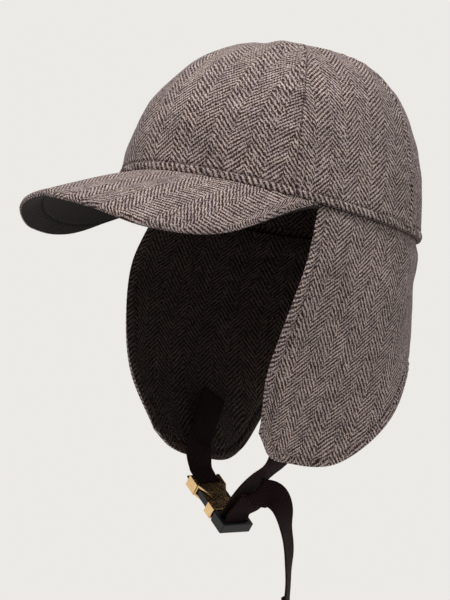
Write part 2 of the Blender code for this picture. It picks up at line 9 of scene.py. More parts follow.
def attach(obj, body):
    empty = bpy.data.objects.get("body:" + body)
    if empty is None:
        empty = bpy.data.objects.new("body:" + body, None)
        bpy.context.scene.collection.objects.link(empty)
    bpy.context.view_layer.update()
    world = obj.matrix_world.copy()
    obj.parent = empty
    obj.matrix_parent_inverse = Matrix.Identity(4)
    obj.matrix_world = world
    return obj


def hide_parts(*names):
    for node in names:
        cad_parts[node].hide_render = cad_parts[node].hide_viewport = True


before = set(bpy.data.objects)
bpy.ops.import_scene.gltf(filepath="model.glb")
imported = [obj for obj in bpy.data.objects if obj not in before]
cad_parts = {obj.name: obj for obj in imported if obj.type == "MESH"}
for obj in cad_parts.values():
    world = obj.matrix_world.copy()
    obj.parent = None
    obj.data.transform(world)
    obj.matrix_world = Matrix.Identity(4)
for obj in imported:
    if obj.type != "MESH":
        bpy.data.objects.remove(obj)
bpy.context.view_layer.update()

bpy.context.scene.view_settings.view_transform = "Standard"

# Sizes that the solids share, in metres
HALF_LENGTH = 0.1025
HALF_WIDTH = 0.0875
CROWN_HEIGHT = 0.1045
CROWN_WALL = 0.0028
WORN_TILT = radians(10.8)
RIM_LIFT = 0.0046
RIM_DIP = 0.0040
CROWN_SET_BACK = 0.0045
RISE_POWER = 1.70
ROUND_POWER = 3.10
FRONT_RISE_POWER = 2.35
FRONT_ROUND_POWER = 2.10
FRONT_SPREAD = 0.70
FRONT_SEAM = 62.2
FRONT_SEAM_LEAN = 2.1
BACK_SEAM = 121.0
CROWN_TOP_HOLE = 0.0030
PEAK_REACH = 0.0736
PEAK_CORNER = 73.1
PEAK_THICKNESS = 0.0038
PEAK_DROP = 0.0400
PEAK_SIDE_POWER = 2.30
PEAK_FRONT_POWER = 2.34
FLAP_FRONT = 74.4
FLAP_DROP = 0.1645
NAPE_DROP = 0.0970
FLAP_THICKNESS = 0.0056
STRAP_WIDTH = 0.0180
STRAP_THICKNESS = 0.0013
STRAP_SEAT = 0.0031
GAP = 0.0003

# Height of the peak's edge from its middle to its corner, as shares of PEAK_DROP
PEAK_EDGE_HEIGHT = ((0.0, -0.685), (22.5, -0.825), (45.0, -1.013), (67.5, -0.878), (90.0, -0.103))

# Each flap from its front edge round to the middle of the back. around: share of the way round.
# depth: share between NAPE_DROP and FLAP_DROP. side, forward: shares of the half width and
# half length at a quarter, half, three quarters and all of the way down.
FLAP_COLUMNS = (
    {"around": 0.0, "depth": 0.660, "side": (1.056, 0.972, 0.818, 0.650),
     "forward": (0.423, 0.530, 0.586, 0.515)},
    {"around": 0.07, "depth": 0.849, "side": (1.050, 0.981, 0.835, 0.589),
     "forward": (0.263, 0.371, 0.455, 0.417)},
    {"around": 0.2, "depth": 0.950, "side": (1.020, 0.960, 0.800, 0.531),
     "forward": (-0.029, 0.078, 0.176, 0.249)},
    {"around": 0.4, "depth": 0.965, "side": (0.920, 0.891, 0.794, 0.629),
     "forward": (-0.380, -0.293, -0.195, -0.093)},
    {"around": 0.6, "depth": 0.570, "side": (0.686, 0.720, 0.754, 0.760),
     "forward": (-0.664, -0.581, -0.493, -0.420)},
    {"around": 0.8, "depth": 0.080, "side": (0.394, 0.450, 0.518, 0.588),
     "forward": (-0.868, -0.816, -0.757, -0.693)},
    {"around": 1.0, "depth": 0.000, "side": (0.0, 0.0, 0.0, 0.0),
     "forward": (-0.932, -0.902, -0.878, -0.858)},
)

# The weave
COLUMN_WIDTH = 0.0117
RIB_REPEAT = 0.0033
RIB_RISE = 0.0117
THREAD = RIB_REPEAT / 4


def curve_at(places, values, x):
    """Smooth values at places x (any shape) of rows of values given at rising places."""
    p = np.asarray(places, float)
    v = np.asarray(values, float)
    gaps = np.diff(p)
    rates = np.empty_like(v)
    rates[0] = (v[1] - v[0]) / gaps[0]
    rates[-1] = (v[-1] - v[-2]) / gaps[-1]
    for k in range(1, len(v) - 1):
        rates[k] = (v[k + 1] - v[k - 1]) / (gaps[k - 1] + gaps[k])
    x = np.asarray(x, float)
    k = np.clip(np.searchsorted(p, x, side="right") - 1, 0, len(gaps) - 1)
    shape = x.shape + (1,) * (v.ndim - 1)
    g = gaps[k].reshape(shape)
    f = ((x - p[k]) / gaps[k]).reshape(shape)
    return (v[k] * (1 + 2 * f) * (1 - f) ** 2 + rates[k] * g * f * (1 - f) ** 2
            + v[k + 1] * f ** 2 * (3 - 2 * f) - rates[k + 1] * g * f ** 2 * (1 - f))


def worn(x, y, z):
    """From the cap's own frame to the frame it is worn in, tipped back about X."""
    return np.stack([x, y * cos(WORN_TILT) + z * sin(WORN_TILT),
                     -y * sin(WORN_TILT) + z * cos(WORN_TILT)], axis=-1)


def worn_grid(grid):
    return worn(grid[..., 0], grid[..., 1], grid[..., 2])


def rim_height(turn):
    return RIM_LIFT * np.cos(turn) - RIM_DIP * np.sin(turn) ** 2


def crown_powers(turn):
    """Powers of the crown's upright profile at each turn: the front slopes more than the back."""
    front = np.maximum(np.cos(turn), 0.0) ** FRONT_SPREAD
    return (RISE_POWER + (FRONT_RISE_POWER - RISE_POWER) * front,
            ROUND_POWER + (FRONT_ROUND_POWER - ROUND_POWER) * front)


def crown_height(turn, rise):
    return np.sin(rise * pi / 2) ** (2 / crown_powers(turn)[0])


def top_rise(turn):
    """Rise at which the panels end, at the same small radius all round."""
    return 1 - 2 / pi * np.arcsin((CROWN_TOP_HOLE / HALF_WIDTH) ** (crown_powers(turn)[1] / 2))


def crown_point(turn, rise):
    """Crown surface: turn runs from the front round by the left, rise from rim 0 to top 1."""
    radius = np.cos(rise * pi / 2) ** (2 / crown_powers(turn)[1])
    height = crown_height(turn, rise)
    return worn(HALF_WIDTH * np.sin(turn) * radius,
                -HALF_LENGTH * np.cos(turn) * radius + CROWN_SET_BACK * height ** 1.5,
                CROWN_HEIGHT * height + rim_height(turn) * (1 - height) ** 2)


def length_along(points, axis):
    """Running length along one axis of a grid of points."""
    steps = np.linalg.norm(np.diff(points, axis=axis), axis=-1)
    start = np.zeros_like(np.take(steps, [0], axis=axis))
    return np.concatenate([start, np.cumsum(steps, axis=axis)], axis=axis)


def normals_of(points, outward):
    """Unit normals of a grid of points, on the side that outward points to."""
    a = np.gradient(points, axis=0)
    b = np.gradient(points, axis=1)
    n = np.cross(a, b)
    n /= np.maximum(np.linalg.norm(n, axis=-1, keepdims=True), 1e-12)
    flip = np.sign(np.sum(n * outward, axis=-1, keepdims=True))
    return n * np.where(flip == 0, 1, flip)


def waves(u, v, size, count, seed):
    """Soft, rolling unevenness with features of about the given size, from -1 to 1."""
    draw = np.random.default_rng(seed)
    total = np.zeros_like(u)
    for k in range(count):
        turn = draw.uniform(0, 2 * pi)
        length = size * draw.uniform(0.7, 1.6)
        total += np.sin((u * cos(turn) + v * sin(turn)) * 2 * pi / length + draw.uniform(0, 2 * pi))
    return total / count * 1.6


def ridge(x, centre, width):
    return np.exp(-((x - centre) / width) ** 2)


def relief(x, form):
    """Height at distances x of a rounded ridge or, below zero, a valley: (height, place, width)."""
    height, place, width = form
    return height * ridge(x, place, width)


def fade(x, low, high):
    t = np.clip((x - low) / (high - low), 0, 1)
    return t * t * (3 - 2 * t)


def stitches(run, pitch, shift=0.0):
    """One hollow for each stitch along a seam, from 0 between two of them to 1 in one."""
    return 0.5 + 0.5 * np.cos(2 * pi * run / pitch + shift)


def graded(total, near, step, far_step, both=False):
    """Places from 0 to total, close together within near of the start, and of the end too if both."""
    edge = np.arange(0.0, near, step)
    end = total - near if both else total
    middle = np.linspace(near, end, int((end - near) / far_step) + 2)
    return np.concatenate([edge, middle, total - edge[::-1]] if both else [edge, middle])


def grid_mesh(name, layers, uvs, materials, painted_groove_shade=None):
    """Closed cloth body from an outer and an inner grid, with the weave's own coordinates.

    Its last argument is painted shade for each point of the outer grid, from 0 to 1, darkening it in seams,
    at stitches and along edges.
    """
    outer, inner = layers
    rows, cols = outer.shape[:2]
    count = rows * cols
    points = np.concatenate([outer.reshape(-1, 3), inner.reshape(-1, 3)])
    i, j = np.meshgrid(np.arange(rows - 1), np.arange(cols - 1), indexing="ij")
    a = (i * cols + j).ravel()
    front = np.stack([a, a + 1, a + cols + 1, a + cols], axis=1)
    back = np.stack([a, a + cols, a + cols + 1, a + 1], axis=1) + count
    ring = list(range(cols))
    ring += [r * cols + cols - 1 for r in range(1, rows)]
    ring += [(rows - 1) * cols + c for c in range(cols - 2, -1, -1)]
    ring += [r * cols for r in range(rows - 2, 0, -1)]
    ring = np.array(ring)
    after = np.roll(ring, -1)
    side = np.stack([ring, ring + count, after + count, after], axis=1)
    faces = np.concatenate([front, back, side])
    mesh = bpy.data.meshes.new(name)
    mesh.from_pydata(points.tolist(), [], faces.tolist())
    weave = np.concatenate([uvs[0].reshape(-1, 2), uvs[1].reshape(-1, 2)])
    layer = mesh.uv_layers.new(name="weave")
    loops = np.empty(len(mesh.loops), int)
    mesh.loops.foreach_get("vertex_index", loops)
    layer.data.foreach_set("uv", weave[loops].ravel())
    # Painted shade for each point, which the cloth materials read to darken the cloth.
    depth = mesh.attributes.new("painted_groove_shade", "FLOAT", "POINT")
    if painted_groove_shade is not None:
        depth.data.foreach_set("value", np.concatenate([painted_groove_shade.ravel(), np.zeros(count)]))
    for mat in materials:
        mesh.materials.append(mat)
    index = np.zeros(len(faces), int)
    if len(materials) > 1:
        index[len(front):len(front) + len(back)] = 1
    mesh.polygons.foreach_set("material_index", index)
    shape = bmesh.new()
    shape.from_mesh(mesh)
    bmesh.ops.recalc_face_normals(shape, faces=shape.faces)
    shape.to_mesh(mesh)
    shape.free()
    mesh.shade_smooth()
    obj = bpy.data.objects.new(name, mesh)
    bpy.context.scene.collection.objects.link(obj)
    return obj


def place(obj, node):
    """The piece stands for one solid: it hides that solid and hangs on the root body."""
    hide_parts(node)
    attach(obj, "root")


class Nodes:
    """Short ways to add shader nodes."""

    def __init__(self, name):
        self.mat = bpy.data.materials.new(name)
        self.mat.use_nodes = True
        self.tree = self.mat.node_tree
        self.shader = self.tree.nodes["Principled BSDF"]

    def link(self, source, target):
        if isinstance(source, (int, float)):
            target.default_value = source
        elif isinstance(source, tuple):
            target.default_value = (*source, 1.0)
        else:
            self.tree.links.new(source, target)

    def math(self, op, a, b=0.0):
        node = self.tree.nodes.new("ShaderNodeMath")
        node.operation = op
        self.link(a, node.inputs[0])
        self.link(b, node.inputs[1])
        return node.outputs[0]

    def wave(self, x, repeat):
        """Cosine of x with the given repeat."""
        return self.math("COSINE", self.math("MULTIPLY", x, 2 * pi / repeat))

    def plus(self, base, value, share):
        return self.math("ADD", base, self.math("MULTIPLY", value, share))

    def sway(self, base, noise, amount):
        """The base moved up and down by a noise that lies round a half."""
        return self.plus(base, self.math("SUBTRACT", noise, 0.5), amount)

    def ramp(self, x, low, high, to_low=0.0, to_high=1.0):
        node = self.tree.nodes.new("ShaderNodeMapRange")
        node.interpolation_type = "SMOOTHSTEP"
        for k, value in enumerate((x, low, high, to_low, to_high)):
            self.link(value, node.inputs[k])
        return node.outputs[0]

    def mix(self, share, a, b, blend="MIX"):
        node = self.tree.nodes.new("ShaderNodeMix")
        node.data_type = "RGBA"
        node.blend_type = blend
        self.link(share, node.inputs[0])
        self.link(a, node.inputs[6])
        self.link(b, node.inputs[7])
        return node.outputs[2]

    def combine(self, x, y, z=0.0):
        node = self.tree.nodes.new("ShaderNodeCombineXYZ")
        for k, value in enumerate((x, y, z)):
            self.link(value, node.inputs[k])
        return node.outputs[0]

    def separate(self, vector):
        """The first two parts of a vector."""
        node = self.tree.nodes.new("ShaderNodeSeparateXYZ")
        self.link(vector, node.inputs[0])
        return node.outputs[0], node.outputs[1]

    def noise(self, vector, scale, detail=2.0, roughness=0.5):
        node = self.tree.nodes.new("ShaderNodeTexNoise")
        self.link(vector, node.inputs["Vector"])
        node.inputs["Scale"].default_value = scale
        node.inputs["Detail"].default_value = detail
        node.inputs["Roughness"].default_value = roughness
        return node.outputs[0]

    def uv(self):
        node = self.tree.nodes.new("ShaderNodeUVMap")
        node.uv_map = "weave"
        return node.outputs[0]

    # Reads the painted shade that the cloth pieces store on their points.
    def painted_groove_shade(self):
        node = self.tree.nodes.new("ShaderNodeAttribute")
        node.attribute_name = "painted_groove_shade"
        return node.outputs["Fac"]

    def position(self):
        node = self.tree.nodes.new("ShaderNodeTexCoord")
        return node.outputs["Object"]

    def bump(self, height, distance, strength):
        node = self.tree.nodes.new("ShaderNodeBump")
        node.inputs["Strength"].default_value = strength
        node.inputs["Distance"].default_value = distance
        self.link(height, node.inputs["Height"])
        return node.outputs[0]

    def finish(self, colour, roughness, normal=None, metallic=0.0, **sockets):
        self.link(colour, self.shader.inputs["Base Color"])
        self.link(roughness, self.shader.inputs["Roughness"])
        self.shader.inputs["Metallic"].default_value = metallic
        if normal is not None:
            self.link(normal, self.shader.inputs["Normal"])
        for name, value in sockets.items():
            self.shader.inputs[name.replace("_", " ")].default_value = value
        return self.mat


# How far the columns and ribs of the tweed wander, in metres
COLUMN_WOBBLE = 0.0012
RIB_DRIFT = 0.0026
RIB_WOBBLE = 0.0009
# Part of a repeat by which the ribs of each second column are set off
COLUMN_STEP = 0.35
# Even number that keeps the columns' numbers above zero
COLUMN_START = 200.0
# How strongly the yarn's beads, whole yarns, lumps and fibres break up the ribs
BEAD_SHARE = 0.45
YARN_SHARE = 1.3
LUMP_SHARE = 3.6
FIBRE_SHARE = 3.4
# The rib's wave turns from dark to light yarn between these values
RIB_DARK = -0.52
RIB_LIGHT = 1.22
# How bright the pale specks are, and what is left of the colour where the painted shade in seams, stitches
# and edges is deepest
SPECK_SHARE = 0.60
GROOVE_SHADE = 0.40
NAP_HEIGHT = 0.00045


def tweed(name, light, dark, mauve, fleck, sheen):
    """Herringbone wool: slanted ribs that turn at each column, made of short uneven floats of yarn."""
    n = Nodes(name)
    where = n.position()
    u, v = n.separate(n.uv())
    drift = n.noise(where, 45.0, 1.0)
    wobble = n.noise(where, 300.0)
    u = n.sway(u, wobble, COLUMN_WOBBLE)
    v = n.sway(n.sway(v, drift, RIB_DRIFT), wobble, RIB_WOBBLE)
    column = n.math("DIVIDE", u, COLUMN_WIDTH)
    zigzag = n.math("PINGPONG", column, 1.0)
    turned = n.math("MODULO", n.math("ADD", n.math("FLOOR", column), COLUMN_START), 2.0)
    phase = n.plus(n.math("DIVIDE", v, RIB_REPEAT), zigzag, RIB_RISE / RIB_REPEAT)
    phase = n.plus(phase, turned, COLUMN_STEP)
    rib_number = n.math("MULTIPLY", n.math("FLOOR", phase), 0.73)
    float_number = n.math("MULTIPLY", n.math("FLOOR", n.math("DIVIDE", u, THREAD * 2)), 0.37)
    yarn = n.noise(n.combine(float_number, rib_number), 1.0, 0.0)
    lumps = n.noise(where, 900.0, 1.0)
    fibre = n.noise(where, 1500.0, 2.0, 0.65)
    bead = n.wave(n.plus(u, v, 0.5), THREAD * 2)
    wave = n.plus(n.wave(phase, 1.0), bead, BEAD_SHARE)
    for unevenness, share in ((yarn, YARN_SHARE), (lumps, LUMP_SHARE), (fibre, FIBRE_SHARE)):
        wave = n.sway(wave, unevenness, share)
    rib = n.ramp(wave, RIB_DARK, RIB_LIGHT)
    pale = n.mix(n.ramp(n.noise(where, 110.0), 0.40, 0.62), light, mauve)
    colour = n.mix(rib, dark, pale)
    speck = n.ramp(n.noise(where, 1150.0, 1.0), 0.60, 0.70)
    colour = n.mix(n.math("MULTIPLY", speck, SPECK_SHARE), colour, fleck)
    # Patchy tone that differs at random, times painted shade in seams, at stitches and along edges.
    patchy_tone_and_painted_shade = n.ramp(n.noise(where, 38.0), 0.25, 0.75, 0.88, 1.10)
    patchy_tone_and_painted_shade = n.math("MULTIPLY", patchy_tone_and_painted_shade, n.ramp(n.painted_groove_shade(), 0.0, 1.0, 1.0, GROOVE_SHADE))
    tone = n.mix(1.0, colour, n.combine(patchy_tone_and_painted_shade, patchy_tone_and_painted_shade, patchy_tone_and_painted_shade), "MULTIPLY")
    height = n.plus(n.math("MULTIPLY", rib, 0.75), fibre, 0.35)
    return n.finish(tone, 0.92, n.bump(height, NAP_HEIGHT, 0.75), Specular_IOR_Level=0.12,
                    Sheen_Weight=sheen, Sheen_Roughness=0.45, Sheen_Tint=(0.95, 0.89, 0.86, 1.0))


def twill(name, base, deep, repeat):
    """Fine dark twill for the lining of the peak."""
    n = Nodes(name)
    where = n.position()
    x, y = n.separate(where)
    diagonal = n.plus(n.math("MULTIPLY", x, 0.8), y, 0.6)
    fibre = n.noise(where, 1800.0)
    patch = n.noise(where, 60.0)
    rib = n.ramp(n.plus(n.wave(diagonal, repeat), fibre, 1.4), -0.4, 1.6)
    colour = n.mix(rib, deep, base)
    colour = n.mix(n.ramp(patch, 0.3, 0.8, 0.0, 0.35), colour, deep)
    # Painted shade: near black along the lining's inner seam.
    colour = n.mix(n.math("MULTIPLY", n.painted_groove_shade(), 0.8), colour, (0.002, 0.0015, 0.0015))
    height = n.plus(n.math("MULTIPLY", rib, 0.5), fibre, 0.4)
    return n.finish(colour, 0.85, n.bump(height, 0.0002, 0.6), Specular_IOR_Level=0.06,
                    Sheen_Weight=0.03, Sheen_Roughness=0.5)


# Repeats of the tape's two slanting grains, in metres
TAPE_RIB = 0.0019
TAPE_GRAIN = 0.0015


def webbing_cloth():
    """Dark woven tape with fine crosswise ribs, a diagonal grain and a burgundy cast."""
    n = Nodes("dark_webbing_weave")
    u, v = n.separate(n.uv())
    fibre = n.noise(n.position(), 2400.0)
    rib_wave = n.wave(n.math("ADD", n.math("MULTIPLY", u, 0.8), v), TAPE_RIB)
    grain_wave = n.wave(n.math("SUBTRACT", u, n.math("MULTIPLY", v, 0.4)), TAPE_GRAIN)
    height = n.plus(n.math("MULTIPLY", rib_wave, 0.5), grain_wave, 0.45)
    height = n.plus(height, fibre, 0.5)
    rib = n.ramp(height, -0.5, 1.0)
    colour = n.mix(rib, (0.0022, 0.0007, 0.0008), (0.0270, 0.0120, 0.0125))
    return n.finish(colour, 0.75, n.bump(height, 0.00025, 0.7), Specular_IOR_Level=0.07)


def gold_metal():
    n = Nodes("polished_gold")
    where = n.position()
    smear = n.noise(where, 220.0, 3.0)
    grain = n.noise(where, 3000.0, 1.0)
    colour = n.mix(n.ramp(smear, 0.3, 0.75), (0.88, 0.62, 0.32), (0.78, 0.52, 0.26))
    roughness = n.ramp(smear, 0.3, 0.8, 0.22, 0.32)
    return n.finish(colour, roughness, n.bump(grain, 0.00001, 0.1), 1.0)


def black_plastic():
    n = Nodes("black_moulded_plastic")
    where = n.position()
    grain = n.noise(where, 1800.0)
    scuff = n.noise(where, 300.0, 3.0)
    colour = n.mix(n.ramp(scuff, 0.45, 0.75), (0.009, 0.010, 0.011), (0.020, 0.020, 0.022))
    roughness = n.ramp(scuff, 0.3, 0.8, 0.30, 0.48)
    return n.finish(colour, roughness, n.bump(grain, 0.00008, 0.5), Specular_IOR_Level=0.32)


TWEED = tweed("herringbone_tweed", (0.59, 0.468, 0.418), (0.039, 0.0200, 0.0160),
              (0.49, 0.398, 0.380), (0.88, 0.76, 0.71), 0.08)
# The same herringbone with all its colours much darker: painted shade for the inner faces of the crown and
# the flaps.
TWEED_PAINTED_SHADE = tweed("herringbone_painted_shade", (0.105, 0.075, 0.062), (0.008, 0.0040, 0.0032),
                     (0.080, 0.060, 0.054), (0.14, 0.108, 0.095), 0.02)
LINING = twill("charcoal_twill", (0.040, 0.0335, 0.0350), (0.021, 0.0168, 0.0176), 0.0011)
TAPE = webbing_cloth()
GOLD = gold_metal()
BLACK = black_plastic()

# Crown, in metres. A relief is a height, a place and a width: the cloth rises by the height, or
# sinks where it is below zero, at the place, which is measured from a seam or an edge.
PANEL_HEIGHT = 0.150
FINE_ZONE = 0.0085
STITCH_PITCH = 0.0034
STITCH_LINE = 0.0034
STITCH_LINE_WIDTH = 0.00075
STITCH_FLOOR = 0.0001
STITCH_PULL = 0.00045
# Painted shade in each stitch
STITCH_SHADE = 0.30
STITCH_SHOULDER = (0.00025, STITCH_LINE + 0.0021, 0.0014)
STITCH_GATHER = (0.00045, 0.0020, 0.0013)
SEAM_VALLEY = (-0.0009, 0.0, 0.0009)
SEAM_SHOULDER = (0.00035, 0.0020, 0.0011)
# Painted shade in the seam: depth of colour, place and width
SEAM_SHADE = (0.55, 0.0, 0.0006)
HEM_WIDTH = 0.0042
HEM_PITCH = 0.0042
HEM_ROLL = 0.0010
HEM_ROUND = 0.0008
HEM_LIP = 0.0007
HEM_SPAN = HEM_WIDTH + 0.0010
HEM_LINE = HEM_WIDTH + 0.0003
HEM_STITCH_FLOOR = 0.0002
HEM_STITCH_PULL = 0.00055
HEM_GATHER = (0.00040, HEM_WIDTH * 0.55, 0.0015)
HEM_SHOULDER = (0.00025, HEM_WIDTH + 0.0023, 0.0013)
HEM_HANG = 0.0011
HEM_THINNING = 0.0008
# Width of the painted shade along the rim
RIM_SHADE_WIDTH = 0.0008
BROAD_WAVE = 0.00060
BROAD_WAVE_SIZE = 0.045
FINE_WAVE = 0.00026
FINE_WAVE_SIZE = 0.017
PUCKER = 0.00035
PUCKER_PITCH = 0.0115
PULL = 0.0024
PULL_WIDTH = 0.012


def rises_at(turn, ups):
    """Rises that lie the given lengths up from the rim, the last one at the top."""
    fine = np.linspace(0, 1, 1500) * top_rise(turn)
    length = length_along(crown_point(np.full_like(fine, turn), fine), 0)
    return np.interp(ups / ups[-1] * length[-1], length, fine)


def seam_turns(seam, rises):
    turn, lean = seam
    return np.radians(turn + lean * (1 - crown_height(radians(turn), rises)) ** 3)


def seam_relief(up, to_right, to_left, stitched, seed):
    """Lift and painted shade beside the panel's two seams, with a row of stitches on the sides named."""
    to_seam = np.minimum(to_right, to_left)
    stitch = stitches(up, STITCH_PITCH, seed)
    gather = np.cos(2 * pi * up / STITCH_PITCH + seed + 1.2)
    # Painted shade, deepest in the seam and in each stitch.
    painted_groove_shade = relief(to_seam, SEAM_SHADE)
    lift = relief(to_seam, SEAM_VALLEY) + relief(to_seam, SEAM_SHOULDER)
    for side, near in (("right", to_right), ("left", to_left)):
        if side in stitched:
            line = ridge(near, STITCH_LINE + 0.0004 * np.sin(up / 0.006), STITCH_LINE_WIDTH)
            lift -= (STITCH_FLOOR + STITCH_PULL * stitch) * line
            painted_groove_shade = np.maximum(painted_groove_shade, STITCH_SHADE * stitch * line)
            lift += relief(near, STITCH_SHOULDER)
            lift += relief(near, STITCH_GATHER) * gather
    return lift, painted_groove_shade


def hem_relief(up, across, seed):
    """Lift of the rolled hem along the rim and of the stitches above it, and painted shade at those
    stitches and along the rim.
    """
    hem_wave = 2 * pi * (across + 0.35 * up) / HEM_PITCH + seed * 2
    stitch = 0.5 + 0.5 * np.cos(hem_wave)
    line = ridge(up, HEM_LINE, STITCH_LINE_WIDTH)
    on_roll = 1 - fade(up, HEM_WIDTH - HEM_ROUND, HEM_WIDTH + HEM_ROUND)
    arch = np.sin(np.clip((up + HEM_LIP) / HEM_SPAN, 0, 1) * pi)
    lift = HEM_ROLL * on_roll * np.sqrt(np.clip(arch, 0, 1))
    lift -= (HEM_STITCH_FLOOR + HEM_STITCH_PULL * stitch) * line
    lift += relief(up, HEM_GATHER) * np.cos(hem_wave + 1.5)
    lift += relief(up, HEM_SHOULDER)
    # Painted shade at each stitch and in a thin line along the rim.
    painted_groove_shade = np.maximum((0.05 + 0.40 * stitch) * line, ridge(up, 0.0, RIM_SHADE_WIDTH))
    return lift, painted_groove_shade


def cloth_relief(turns, u, v, up, across, to_seam, weave, seed):
    """Lift of the loose cloth between the seams: rolling waves, puckers at the seams and dents."""
    calm = fade(to_seam, 0.0, 0.02) * fade(up, 0.004, 0.02)
    lift = BROAD_WAVE * waves(u, v, BROAD_WAVE_SIZE, 7, seed) * calm
    lift += FINE_WAVE * waves(u, v, FINE_WAVE_SIZE, 9, seed + 40) * fade(up, 0.003, 0.010)
    beside_seam = fade(to_seam, 0.026, 0.004) * fade(to_seam, 0.0, 0.003)
    lift += PUCKER * np.sin(2 * pi * up / PUCKER_PITCH + 2.2 * np.sin(across / 0.009) + seed) * beside_seam
    for turn, high, size, depth in weave.get("dents", ()):
        away = np.hypot((turns - radians(turn)) * HALF_LENGTH, up - high)
        lift -= depth * ridge(away, 0.0, size)
    return lift


def cloth_coordinates(turns, across, up, weave):
    """Lengths along the weft and the warp, from the turn that the panel's columns follow."""
    grain = radians(weave["grain"])
    at_grain = [np.interp(grain, turn, run) + max(grain - turn[-1], 0.0) * HALF_WIDTH
                for turn, run in zip(turns, across)]
    u = across - np.array(at_grain)[:, None]
    return u, up + weave["tilt"] * u


def crown_panel(name, right, left, weave, seed, stitched):
    """One sewn gore between two seams, each a turn and a lean in degrees."""
    middle = radians((right[0] + left[0]) / 2)
    rises = rises_at(middle, graded(PANEL_HEIGHT, FINE_ZONE, 0.00040, 0.00135))
    start = seam_turns(right, rises)
    end = seam_turns(left, rises)
    width = radians(left[0] - right[0]) * HALF_LENGTH
    places = graded(width, FINE_ZONE, 0.00045, 0.00145, both=True)
    turns = start[:, None] + (end - start)[:, None] * (places / places[-1])[None]
    rise = (rises / rises[-1])[:, None] * top_rise(turns)
    base = crown_point(turns, rise)
    normal = normals_of(base, base - worn(0.0, CROWN_SET_BACK, 0.02))
    across = length_along(base, 1)
    up = length_along(base, 0)
    to_left = across[:, -1:] - across
    u, v = cloth_coordinates(turns, across, up, weave)
    seam_lift, seam_painted_shade = seam_relief(up, across, to_left, stitched, seed)
    hem_lift, hem_painted_shade = hem_relief(up, across, seed)
    to_seam = np.minimum(across, to_left)
    lift = seam_lift + hem_lift + cloth_relief(turns, u, v, up, across, to_seam, weave, seed)
    in_hem = 1 - fade(up, 0.0, HEM_WIDTH)
    down = worn(0.0, 0.0, -1.0) * (HEM_HANG * in_hem)[..., None]
    outer = base + normal * lift[..., None] + down
    inner = base - normal * (CROWN_WALL - HEM_THINNING * in_hem)[..., None] + down
    pull = PULL * ridge(u, 0.0, PULL_WIDTH) if weave.get("pull") else 0.0
    on_hem = up < HEM_WIDTH
    weft = np.where(on_hem, COLUMN_WIDTH * 0.5, u * weave["scale"] + pull + weave["shift"])
    warp = np.where(on_hem, 0.9 * across + 0.8 * up, v)
    uv = np.stack([weft, warp], axis=-1)
    # The inner face gets the darkened tweed, which is painted shade; the outer face gets painted shade in
    # its seams, stitches and along the rim.
    obj = grid_mesh(name + "_tweed", (outer, inner), (uv, uv), (TWEED, TWEED_PAINTED_SHADE),
                    np.maximum(seam_painted_shade, hem_painted_shade))
    place(obj, name)


# How the cloth lies on each panel. grain: the turn that its columns follow. tilt: how far the weft
# leaves the rim's line. scale, shift: how wide its columns are and where they start. pull: the
# columns bend at the grain. dents: turn, height up the panel, size and depth.
FRONT_WEAVE = {"grain": 20.0, "tilt": -0.04, "scale": 0.95, "shift": 0.0104,
               "dents": ((37.0, 0.034, 0.007, 0.0011), (45.0, 0.020, 0.009, 0.0008),
                         (20.0, 0.016, 0.012, 0.0007),
                         (38.0, 0.121, 0.024, -0.0024), (-38.0, 0.121, 0.024, -0.0024),
                         (38.0, 0.066, 0.026, 0.0014), (-38.0, 0.066, 0.026, 0.0020))}
LEFT_WEAVE = {"grain": 91.0, "tilt": -0.09, "scale": 1.029, "shift": 0.0042, "pull": True}
BACK_LEFT_WEAVE = {"grain": 150.0, "tilt": 0.0, "scale": 1.0, "shift": 0.001}
BACK_RIGHT_WEAVE = {"grain": 210.0, "tilt": 0.0, "scale": 1.0, "shift": 0.004}
RIGHT_WEAVE = {"grain": 269.0, "tilt": 0.06, "scale": 1.0, "shift": 0.003}


def crown_pieces():
    front_start = (-FRONT_SEAM, -FRONT_SEAM_LEAN)
    front_left = (FRONT_SEAM, FRONT_SEAM_LEAN)
    front_right = (360 - FRONT_SEAM, -FRONT_SEAM_LEAN)
    back_left = (BACK_SEAM, 0.0)
    back_right = (360 - BACK_SEAM, 0.0)
    back = (180.0, 0.0)
    crown_panel("crown_front", front_start, front_left, FRONT_WEAVE, 3, ("left", "right"))
    crown_panel("crown_side_left", front_left, back_left, LEFT_WEAVE, 11, ())
    crown_panel("crown_back_left", back_left, back, BACK_LEFT_WEAVE, 17, ())
    crown_panel("crown_back_right", back, back_right, BACK_RIGHT_WEAVE, 23, ("right",))
    crown_panel("crown_side_right", back_right, front_right, RIGHT_WEAVE, 29, ())


# Button. Its dome ends at the shoulder, and the cloth is tucked in below that.
BUTTON_RADIUS = 0.0055
BUTTON_DOME = 0.0028
BUTTON_TUCK = 0.0012
BUTTON_SHOULDER = 0.8
BUTTON_GATHERS = 9
BUTTON_GATHER_DEPTH = 0.00018
BUTTON_BASE = 0.92


